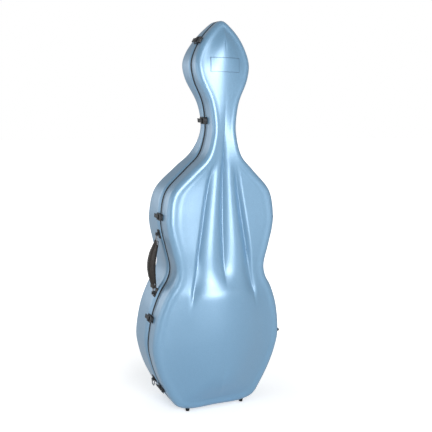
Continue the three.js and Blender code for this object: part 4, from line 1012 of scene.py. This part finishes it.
def upholster(name, node, voxel, steps, swell):
    """Foam with plush glued over it: the solid's shape remeshed evenly, its edges relaxed, and swollen."""
    rough = frame["nodes"][node].data.copy()
    obj = linked(name, rough)
    remesh = obj.modifiers.new("remesh", "REMESH")
    remesh.mode = "VOXEL"
    remesh.voxel_size = voxel * MM
    remesh.use_smooth_shade = True
    view = bpy.context.evaluated_depsgraph_get()
    even = bpy.data.meshes.new_from_object(obj.evaluated_get(view))
    obj.modifiers.clear()
    soft = bmesh.new()
    soft.from_mesh(even)
    for _ in range(steps):
        bmesh.ops.smooth_vert(soft, verts=soft.verts, factor=0.5, use_axis_x=True, use_axis_y=True,
                              use_axis_z=True)
    soft.to_mesh(even)
    soft.free()
    even.materials.clear()
    obj.data = even
    if swell:
        inflate(obj, swell)
    finer = obj.modifiers.new("finer", "SUBSURF")
    finer.levels = finer.render_levels = 1
    dress(obj, node)


PRESSURE, FRAMES = 4.0, 20


def inflate(obj, most):
    """Short cloth simulation with pressure, which crowns a closed cushion. No point moves further than most
    millimetres."""
    before = np.empty(len(obj.data.vertices) * 3)
    obj.data.vertices.foreach_get("co", before)
    before = before.reshape(-1, 3)
    cloth = obj.modifiers.new("cloth", "CLOTH")
    cloth.settings.use_pressure = True
    cloth.settings.uniform_pressure_force = PRESSURE
    cloth.settings.effector_weights.gravity = 0.0
    for kind, stiffness in (("tension", 20), ("compression", 20), ("shear", 10)):
        setattr(cloth.settings, f"{kind}_stiffness", stiffness)
    cloth.point_cache.frame_start = 1
    cloth.point_cache.frame_end = FRAMES
    scene = bpy.context.scene
    for number in range(1, FRAMES + 1):
        scene.frame_set(number)
    grown = obj.evaluated_get(bpy.context.evaluated_depsgraph_get())
    after = np.empty(len(before) * 3)
    grown.data.vertices.foreach_get("co", after)
    move = after.reshape(-1, 3) - before
    length = np.linalg.norm(move, axis=1)[:, None]
    move *= np.minimum(1, most * MM / np.maximum(length, 1e-9))
    obj.modifiers.clear()
    obj.data.vertices.foreach_set("co", (before + move).ravel())
    obj.data.update()
    scene.frame_set(1)


def neck_strap():
    """Webbing over the cradle, with folded and stitched ends."""
    low, high = (np.array(v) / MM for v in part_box("neck_strap"))
    half = (high - low) / 2
    strap = Build(Vector((low + high) / 2), *LEVEL)
    strap.prism(rounded_box(-half[0], half[0], -half[1], half[1], 0.6), -half[2], half[2])
    for side in (-1, 1):
        for up in np.linspace(-half[2] + 4, half[2] - 4, 9):
            for out in (0.93, 0.62):
                strap.rod(0.45, -1.3, 1.3, (side * half[0] * out, -half[1], up), sides=8)
    strap.made("neck_strap_webbing", "neck_strap")


def bow_clips():
    """Nylon foot with two headed studs, and a turning bar on each."""
    spots = {side: Vector(JOINTS[f"bow_clip_{side}_turn"]["pos_m"]) / MM for side in ("left", "right")}
    middle = (spots["left"] + spots["right"]) / 2
    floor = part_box("bow_clip_left")[0].y / MM - GAP
    origin = Vector((middle.x, floor, middle.z))
    foot = Build(origin, *LEVEL)
    foot.prism(rounded_box(-12, 12, -42, 42, 5), -9, 0, "y", 1.2)
    for spot in spots.values():
        across = spot.x - middle.x
        foot.rod(2.4, -0.4, 5, (across, 0, 0), "y", sides=20)
        foot.rod(5, 4.6, 7.1, (across, 0, 0), "y", soft=0.9)
    foot.made("bow_clip_foot", "bow_clip_base")
    for side, spot in spots.items():
        bar = Build(Vector((spot.x, floor + GAP, spot.z)), *LEVEL)
        stadium = [(6.5 * math.cos(t), 16.5 + 6.5 * math.sin(t)) for t in np.linspace(0, math.pi, 13)]
        stadium += [(-a, -b) for a, b in stadium]
        bar.prism(stadium, 0, 4, "y", 1.0, circle(0, 0, 2.8))
        bar.made(f"bow_clip_{side}_bar", f"bow_clip_{side}")


for number in range(1, 6):
    latch(number)
handle()
for end in ("lower", "upper"):
    hinge(end)
strap_fittings()
feet()
badge()
neck_strap()
bow_clips()
upholster("upper_bolster_cushion", "upper_bolster", 5.0, 4, 3.0)
upholster("lower_bolster_cushion", "lower_bolster", 4.0, 3, 2.5)
upholster("neck_cradle_cushion", "neck_cradle", 4.0, 3, 2.0)
upholster("bow_tip_sleeve_pocket", "bow_tip_sleeve", 2.0, 2, 0.0)

# Floor, light and camera

WHITE = (1, 1, 1, 1)
SURROUNDINGS = 0.42


def stage_floor():
    """Pale floor that shows white to the camera and keeps the object's shadow."""
    mesh = bpy.data.meshes.new("studio_floor")
    reach = 14.0
    corners = [(-reach, -reach, 0), (reach, -reach, 0), (reach, reach, 0), (-reach, reach, 0)]
    mesh.from_pydata(corners, [], [(0, 1, 2, 3)])
    f = Finish("pale_floor", Roughness=1.0, Specular_IOR_Level=0.0)
    f.paint(f.noise(900, 2.0), "#e9ebed", "#eef0f1")
    seen = f.node("ShaderNodeLightPath").outputs["Is Camera Ray"]
    f.shader.inputs["Emission Color"].default_value = WHITE
    away = f.node("ShaderNodeVectorMath", {0: f.place}, operation="LENGTH").outputs["Value"]
    f.feed("Emission Strength", f.math("MULTIPLY", seen, f.remap(away, 0.35, 1.1, 0.45, 1.0)))
    mesh.materials.append(f.material)
    linked("studio_floor", mesh)


def stage_world():
    """Soft even surroundings that show white to the camera."""
    world = bpy.data.worlds.new("studio")
    bpy.context.scene.world = world
    world.use_nodes = True
    nodes, links = world.node_tree.nodes, world.node_tree.links
    background = nodes["Background"]
    path = nodes.new("ShaderNodeLightPath").outputs
    scale = nodes.new("ShaderNodeMath")
    scale.operation = "MULTIPLY_ADD"
    links.new(path["Is Camera Ray"], scale.inputs[0])
    scale.inputs[1].default_value = 1 - SURROUNDINGS
    scale.inputs[2].default_value = SURROUNDINGS
    links.new(scale.outputs[0], background.inputs["Strength"])
    background.inputs["Color"].default_value = WHITE


def softbox(name, place, target, size, power):
    """White rectangular lamp at a place, turned to a target, in metres and watts."""
    data = bpy.data.lights.new(name, "AREA")
    data.shape = "RECTANGLE"
    data.size, data.size_y = size
    data.energy = power
    lamp = linked(name, data)
    lamp.location = place
    lamp.rotation_euler = (Vector(target) - Vector(place)).to_track_quat("-Z", "Y").to_euler()


FRAME_PIXELS, FOCAL_PIXELS, SENSOR = 432, 681.588, 36.0
AIM, DISTANCE = Vector((4.722, SEAM_Y, 686.14)) * MM, 2.365405
AZIMUTH, ELEVATION, ROLL_ANGLE = 0.43633, 0.17269, 0.02319


def camera():
    """The photograph's camera, fitted to the outline."""
    flat = math.cos(ELEVATION)
    back = Vector((-math.sin(AZIMUTH) * flat, -math.cos(AZIMUTH) * flat, math.sin(ELEVATION)))
    right = Vector((0, 0, 1)).cross(back).normalized()
    level = Matrix((right, back.cross(right), back)).transposed().to_4x4()
    data = bpy.data.cameras.new("camera")
    data.sensor_width = SENSOR
    data.lens = SENSOR * FOCAL_PIXELS / FRAME_PIXELS
    data.clip_end = 60.0
    made = linked("camera", data)
    place = Matrix.Translation(AIM + back * DISTANCE)
    made.matrix_world = place @ level @ Matrix.Rotation(ROLL_ANGLE, 4, "Z")
    bpy.context.scene.camera = made


stage_floor()
stage_world()
softbox("key_front", (-0.15, -3.2, 1.35), (0, 0, 0.95), (1.5, 1.4), 83)
softbox("fill_left", (-2.9, -0.3, 0.9), (0, 0, 0.75), (2.2, 1.8), 16)
softbox("fill_right", (2.25, -2.2, 0.85), (0, 0, 0.75), (1.6, 1.4), 5)
softbox("fill_back", (-2.2, 2.2, 1.2), (0, 0, 0.7), (2.0, 1.8), 20)
camera()
bpy.context.scene.view_settings.view_transform = "Standard"
